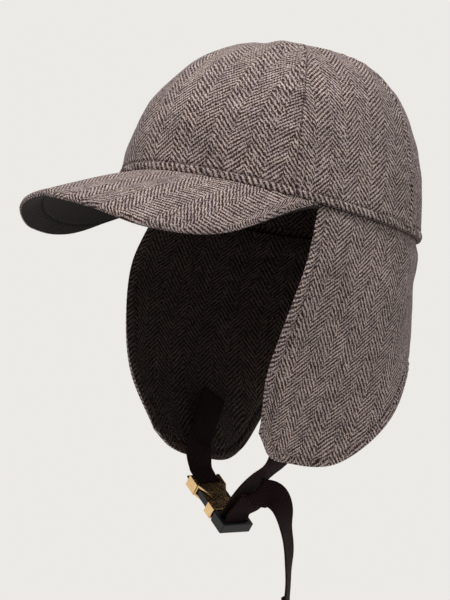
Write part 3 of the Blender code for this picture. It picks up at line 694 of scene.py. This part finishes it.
def crown_button():
    """Covered button: a low dome with cloth pulled in round its edge."""
    rings, steps = 26, 72
    profile = np.linspace(0, 1, rings)
    over = np.minimum(profile / BUTTON_SHOULDER, 1.0) * pi / 2
    tuck = BUTTON_TUCK * np.maximum(profile - BUTTON_SHOULDER, 0.0) / (1 - BUTTON_SHOULDER)
    radius = BUTTON_RADIUS * np.sin(over) - tuck
    height = BUTTON_DOME * np.cos(over) ** 0.8 - tuck
    turn = np.linspace(0, 2 * pi, steps, endpoint=True)
    gather = np.cos(turn * BUTTON_GATHERS)[None] * fade(profile, 0.45, BUTTON_SHOULDER)[:, None]
    r = radius[:, None] + BUTTON_GATHER_DEPTH * gather
    x = r * np.sin(turn)[None]
    y = r * np.cos(turn)[None]
    z = CROWN_HEIGHT + GAP + height[:, None] + 0 * x
    base_z = CROWN_HEIGHT + 0.0002 - 0.001 * profile[:, None] + 0 * x
    outer = worn(x, y + CROWN_SET_BACK, z)
    flat = worn(x * BUTTON_BASE, y * BUTTON_BASE + CROWN_SET_BACK, base_z)
    uv = np.stack([x, y + CROWN_SET_BACK], axis=-1)
    obj = grid_mesh("crown_button_tweed", (outer, flat), (uv, uv), (TWEED,))
    shape = bmesh.new()
    shape.from_mesh(obj.data)
    bmesh.ops.remove_doubles(shape, verts=shape.verts, dist=0.00001)
    shape.to_mesh(obj.data)
    shape.free()
    place(obj, "crown_button")


# Peak, in metres, with reliefs as on the crown
PEAK_WEAVE = 1.15
PEAK_LAST_PLACE = 88.8
PEAK_COLS = 230
PEAK_BOW = 0.10
PEAK_ROUNDING = PEAK_THICKNESS * 0.5
PEAK_STITCH_PITCH = 0.0042
PEAK_WAVE = 0.0003
PEAK_WAVE_SIZE = 0.050
PEAK_HEM = (0.00030, 0.0030, 0.0018)
PEAK_STITCH_LINE = 0.0062
PEAK_STITCH_WIDTH = 0.0009
PEAK_STITCH_FLOOR = 0.00006
PEAK_STITCH_PULL = 0.00012
PEAK_RECESS = 0.0013
LINING_EDGE = 0.0019
LINING_WALL = 0.0012
LINING_SEAM = 0.0185
LINING_SEAM_WIDTH = 0.0008
LINING_SEAM_RISE = 0.0014
LINING_CREASE = 0.0006
LINING_CREASE_PITCH = 0.0075
LINING_HOLLOW = 0.0005
LINING_WAVE = 0.00025
LINING_WAVE_SIZE = 0.03


def peak_lines(place_angle):
    """Rim point and lower outer edge of the peak, in the cap's own frame, for many places at once."""
    corner_x = HALF_WIDTH * sin(radians(PEAK_CORNER))
    corner_y = HALF_LENGTH * cos(radians(PEAK_CORNER))
    angle = np.radians(place_angle)
    x = corner_x * np.sign(angle) * np.abs(np.sin(angle)) ** (2 / PEAK_SIDE_POWER)
    reach = HALF_LENGTH + PEAK_REACH - corner_y
    y = -(corner_y + reach * np.abs(np.cos(angle)) ** (2 / PEAK_FRONT_POWER))
    places = [row[0] for row in PEAK_EDGE_HEIGHT]
    heights = [row[1] * PEAK_DROP for row in PEAK_EDGE_HEIGHT]
    edge = np.stack([x, y, curve_at(places, heights, np.abs(place_angle))], axis=-1)
    turn = np.arcsin(np.clip(x / HALF_WIDTH, -1, 1))
    rim = np.stack([HALF_WIDTH * np.sin(turn), -HALF_LENGTH * np.cos(turn), rim_height(turn)], axis=-1)
    return turn, rim, edge


def peak_places(count):
    """Places round the peak that are evenly spaced along its outer edge."""
    fine = np.linspace(-PEAK_LAST_PLACE, PEAK_LAST_PLACE, 1600)
    turn, rim, edge = peak_lines(fine)
    length = length_along(edge, 0)
    return np.interp(np.linspace(0, length[-1], count), length, fine)


PEAK_PLACES = peak_places(PEAK_COLS)
PEAK_TURN, PEAK_RIM, PEAK_EDGE = peak_lines(PEAK_PLACES)
PEAK_SPAN = np.linalg.norm(PEAK_EDGE - PEAK_RIM, axis=-1)
PEAK_RUN = length_along(PEAK_EDGE, 0)[None]


def peak_face(reach):
    """Upper face of the plain peak at shares of the way out, and each point's distance from the edge."""
    start = PEAK_RIM - np.array([0, 0, 2 * GAP])
    top_edge = PEAK_EDGE + np.array([0, 0, PEAK_THICKNESS])
    bow = PEAK_BOW * (1 - np.abs(np.sin(np.radians(PEAK_PLACES))) ** 3) * PEAK_DROP
    face = start[None] + (top_edge - start)[None] * reach[..., None]
    face[..., 2] += bow[None] * reach * (1 - reach)
    return face, (1 - reach) * PEAK_SPAN[None]


def peak_weft(rows):
    """Length across the peak from its middle, the same in each row."""
    steps = np.hypot(np.diff(PEAK_EDGE[:, 0]), np.diff(PEAK_EDGE[:, 2]))
    arc = np.cumsum(np.concatenate([[0], steps]))
    return np.repeat((arc - arc[PEAK_COLS // 2])[None], rows, axis=0)


def peak_top():
    """Wool face of the peak, from under the crown's wall out to its rounded edge and turned under."""
    rows = 74
    reach = np.concatenate([[0], np.linspace(0.0, 1.0, rows - 1) ** 0.92])[:, None]
    flat, from_edge = peak_face(reach)
    flat[0] = np.stack([(HALF_WIDTH - CROWN_WALL) * np.sin(PEAK_TURN),
                        -(HALF_LENGTH - CROWN_WALL) * np.cos(PEAK_TURN),
                        rim_height(PEAK_TURN) - 2 * GAP], axis=-1)
    on_round = from_edge < PEAK_ROUNDING
    arc = np.maximum(PEAK_ROUNDING ** 2 - (PEAK_ROUNDING - from_edge) ** 2, 0)
    drop = np.where(on_round, PEAK_ROUNDING - np.sqrt(arc), 0.0)
    u = peak_weft(rows)
    v = np.repeat(PEAK_RIM[None, :, 1], rows, axis=0)
    stitch = stitches(PEAK_RUN, PEAK_STITCH_PITCH)
    inland = fade(from_edge, 0.004, 0.012) * fade(from_edge[::-1], 0.0, 0.01)
    lift = PEAK_WAVE * waves(u, flat[..., 1], PEAK_WAVE_SIZE, 6, 5) * inland
    lift += relief(from_edge, PEAK_HEM)
    lift -= ((PEAK_STITCH_FLOOR + PEAK_STITCH_PULL * stitch)
             * ridge(from_edge, PEAK_STITCH_LINE, PEAK_STITCH_WIDTH))
    top = flat.copy()
    top[..., 2] += lift - drop
    low = flat.copy()
    low[..., 2] -= PEAK_THICKNESS - drop
    low[..., 2] += PEAK_RECESS * fade(from_edge, 0.0016, 0.0030)
    top_world = worn_grid(top)
    low_world = worn_grid(low)
    run = length_along(top_world, 0)
    low_run = length_along(low_world, 0)
    uv = np.stack([u, v - run], axis=-1) * PEAK_WEAVE
    uv_low = np.stack([u, v - 2 * run[-1:] + run], axis=-1) * PEAK_WEAVE
    uv_low[..., 1] += (run[-1:] - run) - (low_run[-1:] - low_run)
    obj = grid_mesh("peak_top_tweed", (top_world, low_world), (uv, uv_low), (TWEED,))
    place(obj, "peak_top")


def peak_underside():
    """Lining plate inside the turned edge, creased near it, with a raised inner seam."""
    rows = 60
    limit = 1 - LINING_EDGE / PEAK_SPAN
    flat, from_edge = peak_face(np.linspace(0, 1, rows)[:, None] * limit[None])
    # The inner seam's line lifts the lining and is painted shade as well.
    painted_groove_shade = ridge(from_edge, LINING_SEAM, LINING_SEAM_WIDTH)
    ring = fade(from_edge, 0.0015, 0.0035) * (1 - fade(from_edge, LINING_SEAM - 0.001, LINING_SEAM))
    crease = np.cos(2 * pi * PEAK_RUN / LINING_CREASE_PITCH + 2.2 * np.sin(PEAK_RUN / 0.011))
    weft = peak_weft(rows)
    lift = LINING_SEAM_RISE * painted_groove_shade
    lift += LINING_CREASE * np.clip(crease, 0.0, 1.0) ** 4 * ring * fade(from_edge, 0.002, LINING_SEAM)
    lift -= LINING_HOLLOW * ring * np.sin(np.clip((from_edge - 0.0015) / LINING_SEAM, 0, 1) * pi)
    lift += LINING_WAVE * waves(weft, flat[..., 1], LINING_WAVE_SIZE, 6, 9)
    face = flat.copy()
    face[..., 2] += lift - PEAK_THICKNESS
    back = flat.copy()
    back[..., 2] += LINING_WALL - PEAK_THICKNESS
    uv = np.stack([weft, flat[..., 1]], axis=-1)
    obj = grid_mesh("peak_underside_twill", (worn_grid(face), worn_grid(back)), (uv, uv), (LINING,), painted_groove_shade)
    place(obj, "peak_underside")


# Flaps, in metres
SEAM_GAP = 0.00002
FLAP_PLACES = [column["around"] for column in FLAP_COLUMNS]
DOWN_PLACES = [0.0, 0.25, 0.5, 0.75, 1.0]
FLAP_ROLL = 0.0027
FLAP_STITCH_PITCH = 0.0052
FLAP_STITCH_LINE = 0.0062
FLAP_STITCH_FLOOR = 0.0010
FLAP_STITCH_PULL = 0.0010
FLAP_STITCH_WIDTH = 0.0012
# Width of the painted shade along the flap's stitches
FLAP_SHADE_WIDTH = 0.0010
FLAP_GATHER = (0.0004, FLAP_STITCH_LINE - 0.0022, 0.0015)
# Painted shade along the flap's top, under the crown's hem: depth of colour, place and width
FLAP_TOP_SHADE = (0.9, 0.0, 0.0013)
FLAP_BROAD_WAVE = 0.00055
FLAP_FINE_WAVE = 0.0002
FLAP_WRINKLE = (0.0009, 0.022, 0.014)
FLAP_WRINKLE_STEP = 0.0095
FLAP_SEAT = 0.0004
FLAP_SEAM_DEPTH = 0.0011
# The flap's columns and ribs lean: shares of the lengths from the back seam and down from the rim
FLAP_WEFT = (-1.09, 0.316)
FLAP_WARP = (0.081, -1.005)


def flap_table():
    """The outer face's chosen points: the rim and four points below it for each column."""
    table = []
    for column in FLAP_COLUMNS:
        turn = radians(FLAP_FRONT + (180.0 - FLAP_FRONT) * column["around"])
        rim = worn(HALF_WIDTH * sin(turn), -HALF_LENGTH * cos(turn), rim_height(turn) - 2 * GAP)
        drop = -(NAPE_DROP + (FLAP_DROP - NAPE_DROP) * column["depth"])
        points = [rim]
        for k, (side, forward) in enumerate(zip(column["side"], column["forward"])):
            points.append(np.array([side * HALF_WIDTH, -forward * HALF_LENGTH,
                                    rim[2] + (drop - rim[2]) * (k + 1) / 4]))
        table.append(points)
    return np.array(table)


FLAP_TABLE = flap_table()


def flap_surface(around, down):
    """Outer face of the left flap on a grid of places round it and down it."""
    columns = curve_at(FLAP_PLACES, FLAP_TABLE, np.asarray(around, float))
    grid = curve_at(DOWN_PLACES, np.swapaxes(columns, 0, 1), np.asarray(down, float))
    grid[..., 0] = np.maximum(grid[..., 0], SEAM_GAP / 2)
    return grid


def nearest_edge(base):
    """Distance of each point from the front and lower edges, and how far along them that edge is."""
    outline = np.concatenate([base[:, 0], base[-1]])
    running = length_along(outline, 0)
    flat = base.reshape(-1, 3)
    gap = np.full(len(flat), 1e9)
    along = np.zeros(len(flat))
    for k, point in enumerate(outline):
        distance = np.sum((flat - point) ** 2, axis=1)
        near = distance < gap
        gap[near] = distance[near]
        along[near] = running[k]
    return np.sqrt(gap).reshape(base.shape[:2]), along.reshape(base.shape[:2])


def flap_fullness(to_edge, along):
    """Half of the flap's thickness: a rolled edge, a row of stitches and the padded body; and painted shade
    along the stitches.
    """
    body = FLAP_THICKNESS / 2
    stitch = stitches(along, FLAP_STITCH_PITCH)
    gather = np.cos(2 * pi * along / FLAP_STITCH_PITCH + 1.3)
    arc = np.sqrt(np.maximum(FLAP_ROLL ** 2 - (FLAP_ROLL - to_edge) ** 2, 0.0))
    half = np.where(to_edge < FLAP_ROLL, arc, FLAP_ROLL)
    half = half + (body - FLAP_ROLL) * fade(to_edge, FLAP_STITCH_LINE, FLAP_STITCH_LINE + 0.012)
    half = half - ((FLAP_STITCH_FLOOR + FLAP_STITCH_PULL * stitch)
                   * ridge(to_edge, FLAP_STITCH_LINE, FLAP_STITCH_WIDTH))
    half = half + relief(to_edge, FLAP_GATHER) * gather
    # Painted shade along the row of stitches.
    painted_groove_shade = (0.20 + 0.60 * stitch) * ridge(to_edge, FLAP_STITCH_LINE, FLAP_SHADE_WIDTH)
    return half, painted_groove_shade


def flap_pieces():
    """Both flaps: the left one from the table of columns, the right one as its mirror image."""
    cols, rows = 128, 150
    base = flap_surface(np.linspace(0, 1, cols), np.linspace(0, 1, rows))
    normal = normals_of(base, base * np.array([1.0, 1.0, 0.0]))
    to_edge, along = nearest_edge(base)
    across = length_along(base, 1)
    back = across[:, -1:] - across
    deep = length_along(base, 0)
    uu = FLAP_WEFT[0] * back + FLAP_WEFT[1] * deep
    vv = FLAP_WARP[0] * back + FLAP_WARP[1] * deep
    half, painted_groove_shade = flap_fullness(to_edge, along)
    # Painted shade along the flap's top, under the crown's hem.
    painted_groove_shade = np.maximum(painted_groove_shade, relief(deep, FLAP_TOP_SHADE))
    hem = fade(deep, 0.0, 0.010)
    seam = fade(back, 0.0, 0.0045)
    shift = FLAP_BROAD_WAVE * waves(uu, vv, 0.040, 8, 31) + FLAP_FINE_WAVE * waves(uu, vv, 0.016, 9, 37)
    wrinkle = np.sin(deep / FLAP_WRINKLE_STEP + 1.0) * fade(across, 0.05, 0.09)
    shift += relief(deep, FLAP_WRINKLE) * wrinkle
    shift *= fade(deep, 0.003, 0.015) * fade(to_edge, 0.004, 0.016) * fade(back, 0.002, 0.015)
    centre = base - normal * (FLAP_THICKNESS / 2 + FLAP_SEAT - shift)[..., None]
    outer = centre + normal * (half * (0.25 + 0.75 * hem))[..., None]
    outer -= normal * (FLAP_SEAM_DEPTH * (1 - seam))[..., None]
    inner = centre - normal * (half * (0.45 + 0.55 * hem) * (0.6 + 0.4 * seam))[..., None]
    for grid in (outer, inner):
        grid[..., 0] = np.maximum(grid[..., 0], SEAM_GAP / 2)
        grid[:, -1, 0] = SEAM_GAP / 2
    uv = np.stack([uu, vv], axis=-1)
    uv_in = np.stack([-uu, vv], axis=-1)
    for name, side in (("flap_left", 1.0), ("flap_right", -1.0)):
        flip = np.array([side, 1.0, 1.0])
        # The inner faces get the darkened tweed, which is painted shade.
        obj = grid_mesh(name + "_tweed", (outer * flip, inner * flip), (uv, uv_in),
                        (TWEED, TWEED_PAINTED_SHADE), painted_groove_shade)
        place(obj, name)


crown_pieces()
crown_button()
peak_top()
peak_underside()
flap_pieces()

# Buckle and straps, in metres
BUCKLE_PITCH = radians(40.2)
BUCKLE_ORIGIN = np.array([-0.0393, -0.0250, -0.1737])
BUCKLE_ALONG = np.array([cos(BUCKLE_PITCH), 0.0, -sin(BUCKLE_PITCH)])
BUCKLE_UP = np.array([sin(BUCKLE_PITCH), 0.0, cos(BUCKLE_PITCH)])
BUCKLE_THICKNESS = 0.0080
SOCKET_LENGTH = 0.0323
PLUG_LENGTH = 0.0139
SOCKET_BAR_END = 0.0026
SOCKET_BAR_THICKNESS = 0.0024
SLIDER_SLOT = 0.0031
SLIDER_BAR = 0.0026
SLIDER_END_BAR = 0.0022
SLIDER_BAR_THICKNESS = 0.0022
ACROSS_STRAP = (0.0, 1.0, 0.0)

# The strap's sewn end on a flap's inner face: share round the flap, share of the way down
STRAP_ON_FLAP = ((0.30, 0.74), (0.265, 0.82), (0.225, 0.90), (0.19, 0.965))

# Chosen places of the left strap between its flap and the plug
LEFT_STRAP_ROUTE = ((0.0398, -0.0263, -0.1590), (0.0240, -0.0255, -0.1678),
                    (0.0096, -0.0250, -0.1765), (0.0, -0.0250, -0.1850))

# Chosen places along the free tail, with the direction across the webbing
TAIL_ROUTE = (
    ((0.0055, -0.0238, -0.1893), (0.19, 0.97, -0.10)),
    ((0.0114, -0.0231, -0.1845), (0.35, 0.93, 0.00)),
    ((0.0147, -0.0231, -0.1800), (0.51, 0.81, 0.25)),
    ((0.0165, -0.0253, -0.1785), (0.46, 0.59, 0.65)),
    ((0.0208, -0.0241, -0.1797), (0.40, 0.26, 0.80)),
    ((0.0270, -0.0198, -0.1813), (0.15, 0.52, 0.70)),
    ((0.0322, -0.0172, -0.1885), (-0.10, 0.84, 0.25)),
    ((0.0358, -0.0168, -0.2010), (-0.46, 0.87, 0.05)),
    ((0.0376, -0.0158, -0.2160), (-0.56, 0.82, 0.00)),
    ((0.0376, -0.0163, -0.2305), (-0.67, 0.74, 0.00)),
    ((0.0372, -0.0169, -0.2440), (-0.68, 0.73, 0.00)),
)
TAIL_FOLD_DROP = 0.0075
TAIL_FOLD_RISE = 0.0075

# Section of the webbing: places across it, and its thickness there as a share of the whole
TAPE_ACROSS = (-1, -0.985, -0.94, -0.86, -0.6, -0.3, 0, 0.3, 0.6, 0.86, 0.94, 0.985, 1)
TAPE_THICK = (0.15, 0.6, 0.95, 1.0, 0.85, 0.9, 0.9, 0.9, 0.85, 1.0, 0.95, 0.6, 0.15)
TAPE_RIPPLE = 0.00018
TAPE_STEP = 0.0007


def on_buckle(along, up):
    return BUCKLE_ORIGIN + along * BUCKLE_ALONG + up * BUCKLE_UP


def smooth_route(points, spacing):
    """Even points along a smooth curve through the given ones, centripetal so that bends stay round."""
    p = np.asarray(points, float)
    knots = np.concatenate([[0], np.cumsum(np.linalg.norm(np.diff(p[:, :3], axis=0), axis=1) ** 0.5)])
    fine = np.linspace(0, knots[-1], 4000)
    dense = curve_at(knots, p, fine)
    length = length_along(dense[:, :3], 0)
    count = int(length[-1] / spacing) + 1
    even = np.linspace(0, length[-1], count)
    return np.stack([np.interp(even, length, dense[:, k]) for k in range(p.shape[1])], axis=1), even


def strap_on_flap(side):
    """Middle line and crosswise direction of the strap's sewn end on a flap's inner face."""
    flip = np.array([side, 1.0, 1.0])
    lift = FLAP_THICKNESS + STRAP_SEAT + STRAP_THICKNESS / 2
    step = 0.01
    line = []
    normals = []
    for around, down in STRAP_ON_FLAP:
        base = flap_surface([around - step, around, around + step], [down - step, down, down + step])
        normal = normals_of(base, base * np.array([1.0, 1.0, 0.0]))[1, 1]
        line.append((base[1, 1] - normal * lift) * flip)
        normals.append(normal * flip)
    across = []
    for k, normal in enumerate(normals):
        along = line[min(k + 1, len(line) - 1)] - line[max(k - 1, 0)]
        cross = np.cross(along, normal)
        cross /= np.linalg.norm(cross)
        across.append(cross if cross[1] > 0 else -cross)
    return line, across


def tape(node, line, across):
    """Woven tape along a route: rounded selvedges, a slight crown and its own weave coordinates."""
    both = np.concatenate([np.array(line), np.array(across)], axis=1)
    path, length = smooth_route(both, TAPE_STEP)
    middle, cross = path[:, :3], path[:, 3:]
    along = np.gradient(middle, axis=0)
    along /= np.linalg.norm(along, axis=1, keepdims=True)
    cross = cross - along * np.sum(cross * along, axis=1, keepdims=True)
    cross /= np.linalg.norm(cross, axis=1, keepdims=True)
    face = np.cross(along, cross)
    s = np.array(TAPE_ACROSS)
    thick = np.array(TAPE_THICK) * STRAP_THICKNESS / 2
    ripple = TAPE_RIPPLE * np.sin(length / 0.0045)[:, None] * (s[None] ** 2)
    centre = middle[:, None] + cross[:, None] * (s * STRAP_WIDTH / 2)[None, :, None]
    centre = centre + face[:, None] * ripple[..., None]
    outer = centre + face[:, None] * thick[None, :, None]
    inner = centre - face[:, None] * thick[None, :, None]
    u = np.repeat((s * STRAP_WIDTH / 2)[None], len(length), axis=0)
    v = np.repeat(length[:, None], len(s), axis=1)
    uv = np.stack([u, v], axis=-1)
    obj = grid_mesh(node + "_tape", (outer, inner), (uv, uv), (TAPE,))
    place(obj, node)


def right_strap():
    """From the right flap to the socket, looped round its bar and back under."""
    layer = STRAP_THICKNESS / 2 + GAP
    over = BUCKLE_THICKNESS / 2 + layer
    bar_half = SOCKET_BAR_THICKNESS / 2
    line, across = strap_on_flap(-1)
    route = [on_buckle(-0.0065, over - 0.0005), on_buckle(-0.0005, over - 0.0018),
             on_buckle(SOCKET_BAR_END, over - 0.0024), on_buckle(SOCKET_BAR_END + 0.0022, bar_half),
             on_buckle(SOCKET_BAR_END + 0.0014, -bar_half - layer),
             on_buckle(0.0, -bar_half - layer - 0.0006), on_buckle(-0.0045, -0.0012)]
    tape("chin_strap_right", line + route, across + [ACROSS_STRAP] * len(route))


def tail_fold():
    """The tail's places and directions, with its end folded up once behind it."""
    points = [np.array(point) for point, direction in TAIL_ROUTE]
    across = [np.array(direction) for point, direction in TAIL_ROUTE]
    last = points[-1]
    facing = np.array([-across[-1][1], across[-1][0], 0.0])
    step = facing * (STRAP_THICKNESS + 2 * GAP)
    points += [last + np.array([0.0, 0.0, -TAIL_FOLD_DROP + 0.001]),
               last + step * 0.5 + np.array([0.0, 0.0, -TAIL_FOLD_DROP - 0.0003]),
               last + step + np.array([0.0, 0.0, -TAIL_FOLD_DROP + 0.001]),
               last + step + np.array([0.0, 0.0, TAIL_FOLD_RISE - TAIL_FOLD_DROP])]
    return points, across + [across[-1]] * 4


def left_strap():
    """From the left flap down through the plug's slots, round its bar and out into the free tail."""
    layer = STRAP_THICKNESS / 2 + GAP
    over = BUCKLE_THICKNESS / 2 + layer
    second = SOCKET_LENGTH + GAP + PLUG_LENGTH - SLIDER_END_BAR - SLIDER_SLOT
    bar = second - SLIDER_BAR
    first = bar - SLIDER_SLOT
    low = -SLIDER_BAR_THICKNESS / 2
    bend = layer + 0.0001
    slant = bend * 0.7071
    line, across = strap_on_flap(1)
    route = [*LEFT_STRAP_ROUTE,
             on_buckle(first + 0.45 * SLIDER_SLOT, over), on_buckle(first + 0.5 * SLIDER_SLOT, -low),
             on_buckle(bar - bend, low), on_buckle(bar - slant, low - slant),
             on_buckle(bar, low - bend), on_buckle(second, low - bend),
             on_buckle(second + slant, low - slant), on_buckle(second + bend, low),
             on_buckle(second + 0.5 * SLIDER_SLOT, -low), on_buckle(second + 0.4 * SLIDER_SLOT, over),
             on_buckle(second + 0.2 * SLIDER_SLOT, 1.8 * over)]
    tail, tail_across = tail_fold()
    tape("chin_strap_left", line + route + tail, across + [ACROSS_STRAP] * len(route) + tail_across)


def dress(node, mat):
    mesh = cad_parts[node].data
    mesh.materials.clear()
    mesh.materials.append(mat)


right_strap()
left_strap()
dress("buckle_socket", GOLD)
dress("buckle_plug", BLACK)

# Floor, light and camera
FLOOR_Z = -0.40
FLOOR_RADIUS = 0.85
FLOOR_FADE_START = 0.45
FLOOR_FADE_END = 0.98
PALE = (0.840, 0.823, 0.791)
SKY_LIGHT = (0.86, 0.86, 0.88)
SKY_STRENGTH = 0.40
LIGHTS_AIM = Vector((0.0, 0.0, -0.03))
VIEW = radians(52.0)
RISE = radians(0.915)
DISTANCE = 2.4
LENS = 226.3
SENSOR = 36.0
CAMERA_LEFT = 0.02936
CAMERA_DOWN = 0.05883
AWAY = Vector((sin(VIEW) * cos(RISE), -cos(VIEW) * cos(RISE), sin(RISE)))
RIGHT = Vector((cos(VIEW), sin(VIEW), 0.0))
UP = AWAY.cross(RIGHT)


def floor():
    """Round pale floor that fades out towards its edge."""
    n = Nodes("pale_floor")
    mesh = bpy.data.meshes.new("floor")
    shape = bmesh.new()
    bmesh.ops.create_circle(shape, cap_ends=True, segments=96, radius=FLOOR_RADIUS)
    shape.to_mesh(mesh)
    shape.free()
    obj = bpy.data.objects.new("floor", mesh)
    obj.location = (0, 0, FLOOR_Z)
    bpy.context.scene.collection.objects.link(obj)
    x, y = n.separate(n.position())
    distance = n.math("SQRT", n.math("ADD", n.math("MULTIPLY", x, x), n.math("MULTIPLY", y, y)))
    n.finish(PALE, 0.9)
    edge = n.ramp(distance, FLOOR_RADIUS * FLOOR_FADE_START, FLOOR_RADIUS * FLOOR_FADE_END, 1.0, 0.0)
    n.link(edge, n.shader.inputs["Alpha"])
    mesh.materials.append(n.mat)


def backdrop():
    """One even pale colour all round, seen in full directly and in reflections.

    As light on the cloth it is less than half as bright.
    """
    world = bpy.data.worlds.new("studio")
    bpy.context.scene.world = world
    world.use_nodes = True
    tree = world.node_tree
    tree.nodes.clear()
    seen = tree.nodes.new("ShaderNodeBackground")
    seen.inputs["Color"].default_value = (*PALE, 1.0)
    light = tree.nodes.new("ShaderNodeBackground")
    light.inputs["Color"].default_value = (*SKY_LIGHT, 1.0)
    light.inputs["Strength"].default_value = SKY_STRENGTH
    path = tree.nodes.new("ShaderNodeLightPath")
    bright = tree.nodes.new("ShaderNodeMath")
    bright.operation = "MAXIMUM"
    mix = tree.nodes.new("ShaderNodeMixShader")
    out = tree.nodes.new("ShaderNodeOutputWorld")
    tree.links.new(path.outputs["Is Camera Ray"], bright.inputs[0])
    tree.links.new(path.outputs["Is Glossy Ray"], bright.inputs[1])
    tree.links.new(bright.outputs[0], mix.inputs[0])
    tree.links.new(light.outputs[0], mix.inputs[1])
    tree.links.new(seen.outputs[0], mix.inputs[2])
    tree.links.new(mix.outputs[0], out.inputs[0])


def softbox(name, where, size, power, colour):
    data = bpy.data.lights.new(name, "AREA")
    data.shape = "RECTANGLE"
    data.size, data.size_y = size
    data.energy = power
    data.color = colour
    obj = bpy.data.objects.new(name, data)
    obj.location = where
    obj.rotation_mode = "QUATERNION"
    obj.rotation_quaternion = (LIGHTS_AIM - where).to_track_quat("-Z", "Y")
    bpy.context.scene.collection.objects.link(obj)


def camera():
    data = bpy.data.cameras.new("camera")
    data.lens = LENS
    data.sensor_width = SENSOR
    data.clip_start, data.clip_end = 0.1, 60.0
    obj = bpy.data.objects.new("camera", data)
    turn = Matrix((RIGHT, UP, AWAY)).transposed()
    where = AWAY * DISTANCE - RIGHT * CAMERA_LEFT - UP * CAMERA_DOWN
    obj.matrix_world = Matrix.Translation(where) @ turn.to_4x4()
    bpy.context.scene.collection.objects.link(obj)
    bpy.context.scene.camera = obj


floor()
backdrop()
softbox("key", AWAY * 0.95 - RIGHT * 0.35 + UP * 1.75, (1.1, 1.1), 16.0, (1.0, 0.985, 0.965))
softbox("fill", AWAY * 1.5 + RIGHT * 1.2 + UP * 0.2, (1.0, 1.2), 3.8, (0.97, 0.985, 1.0))
softbox("top", Vector((0.0, 0.1, 1.6)), (1.2, 1.2), 17.0, (1.0, 1.0, 1.0))
camera()
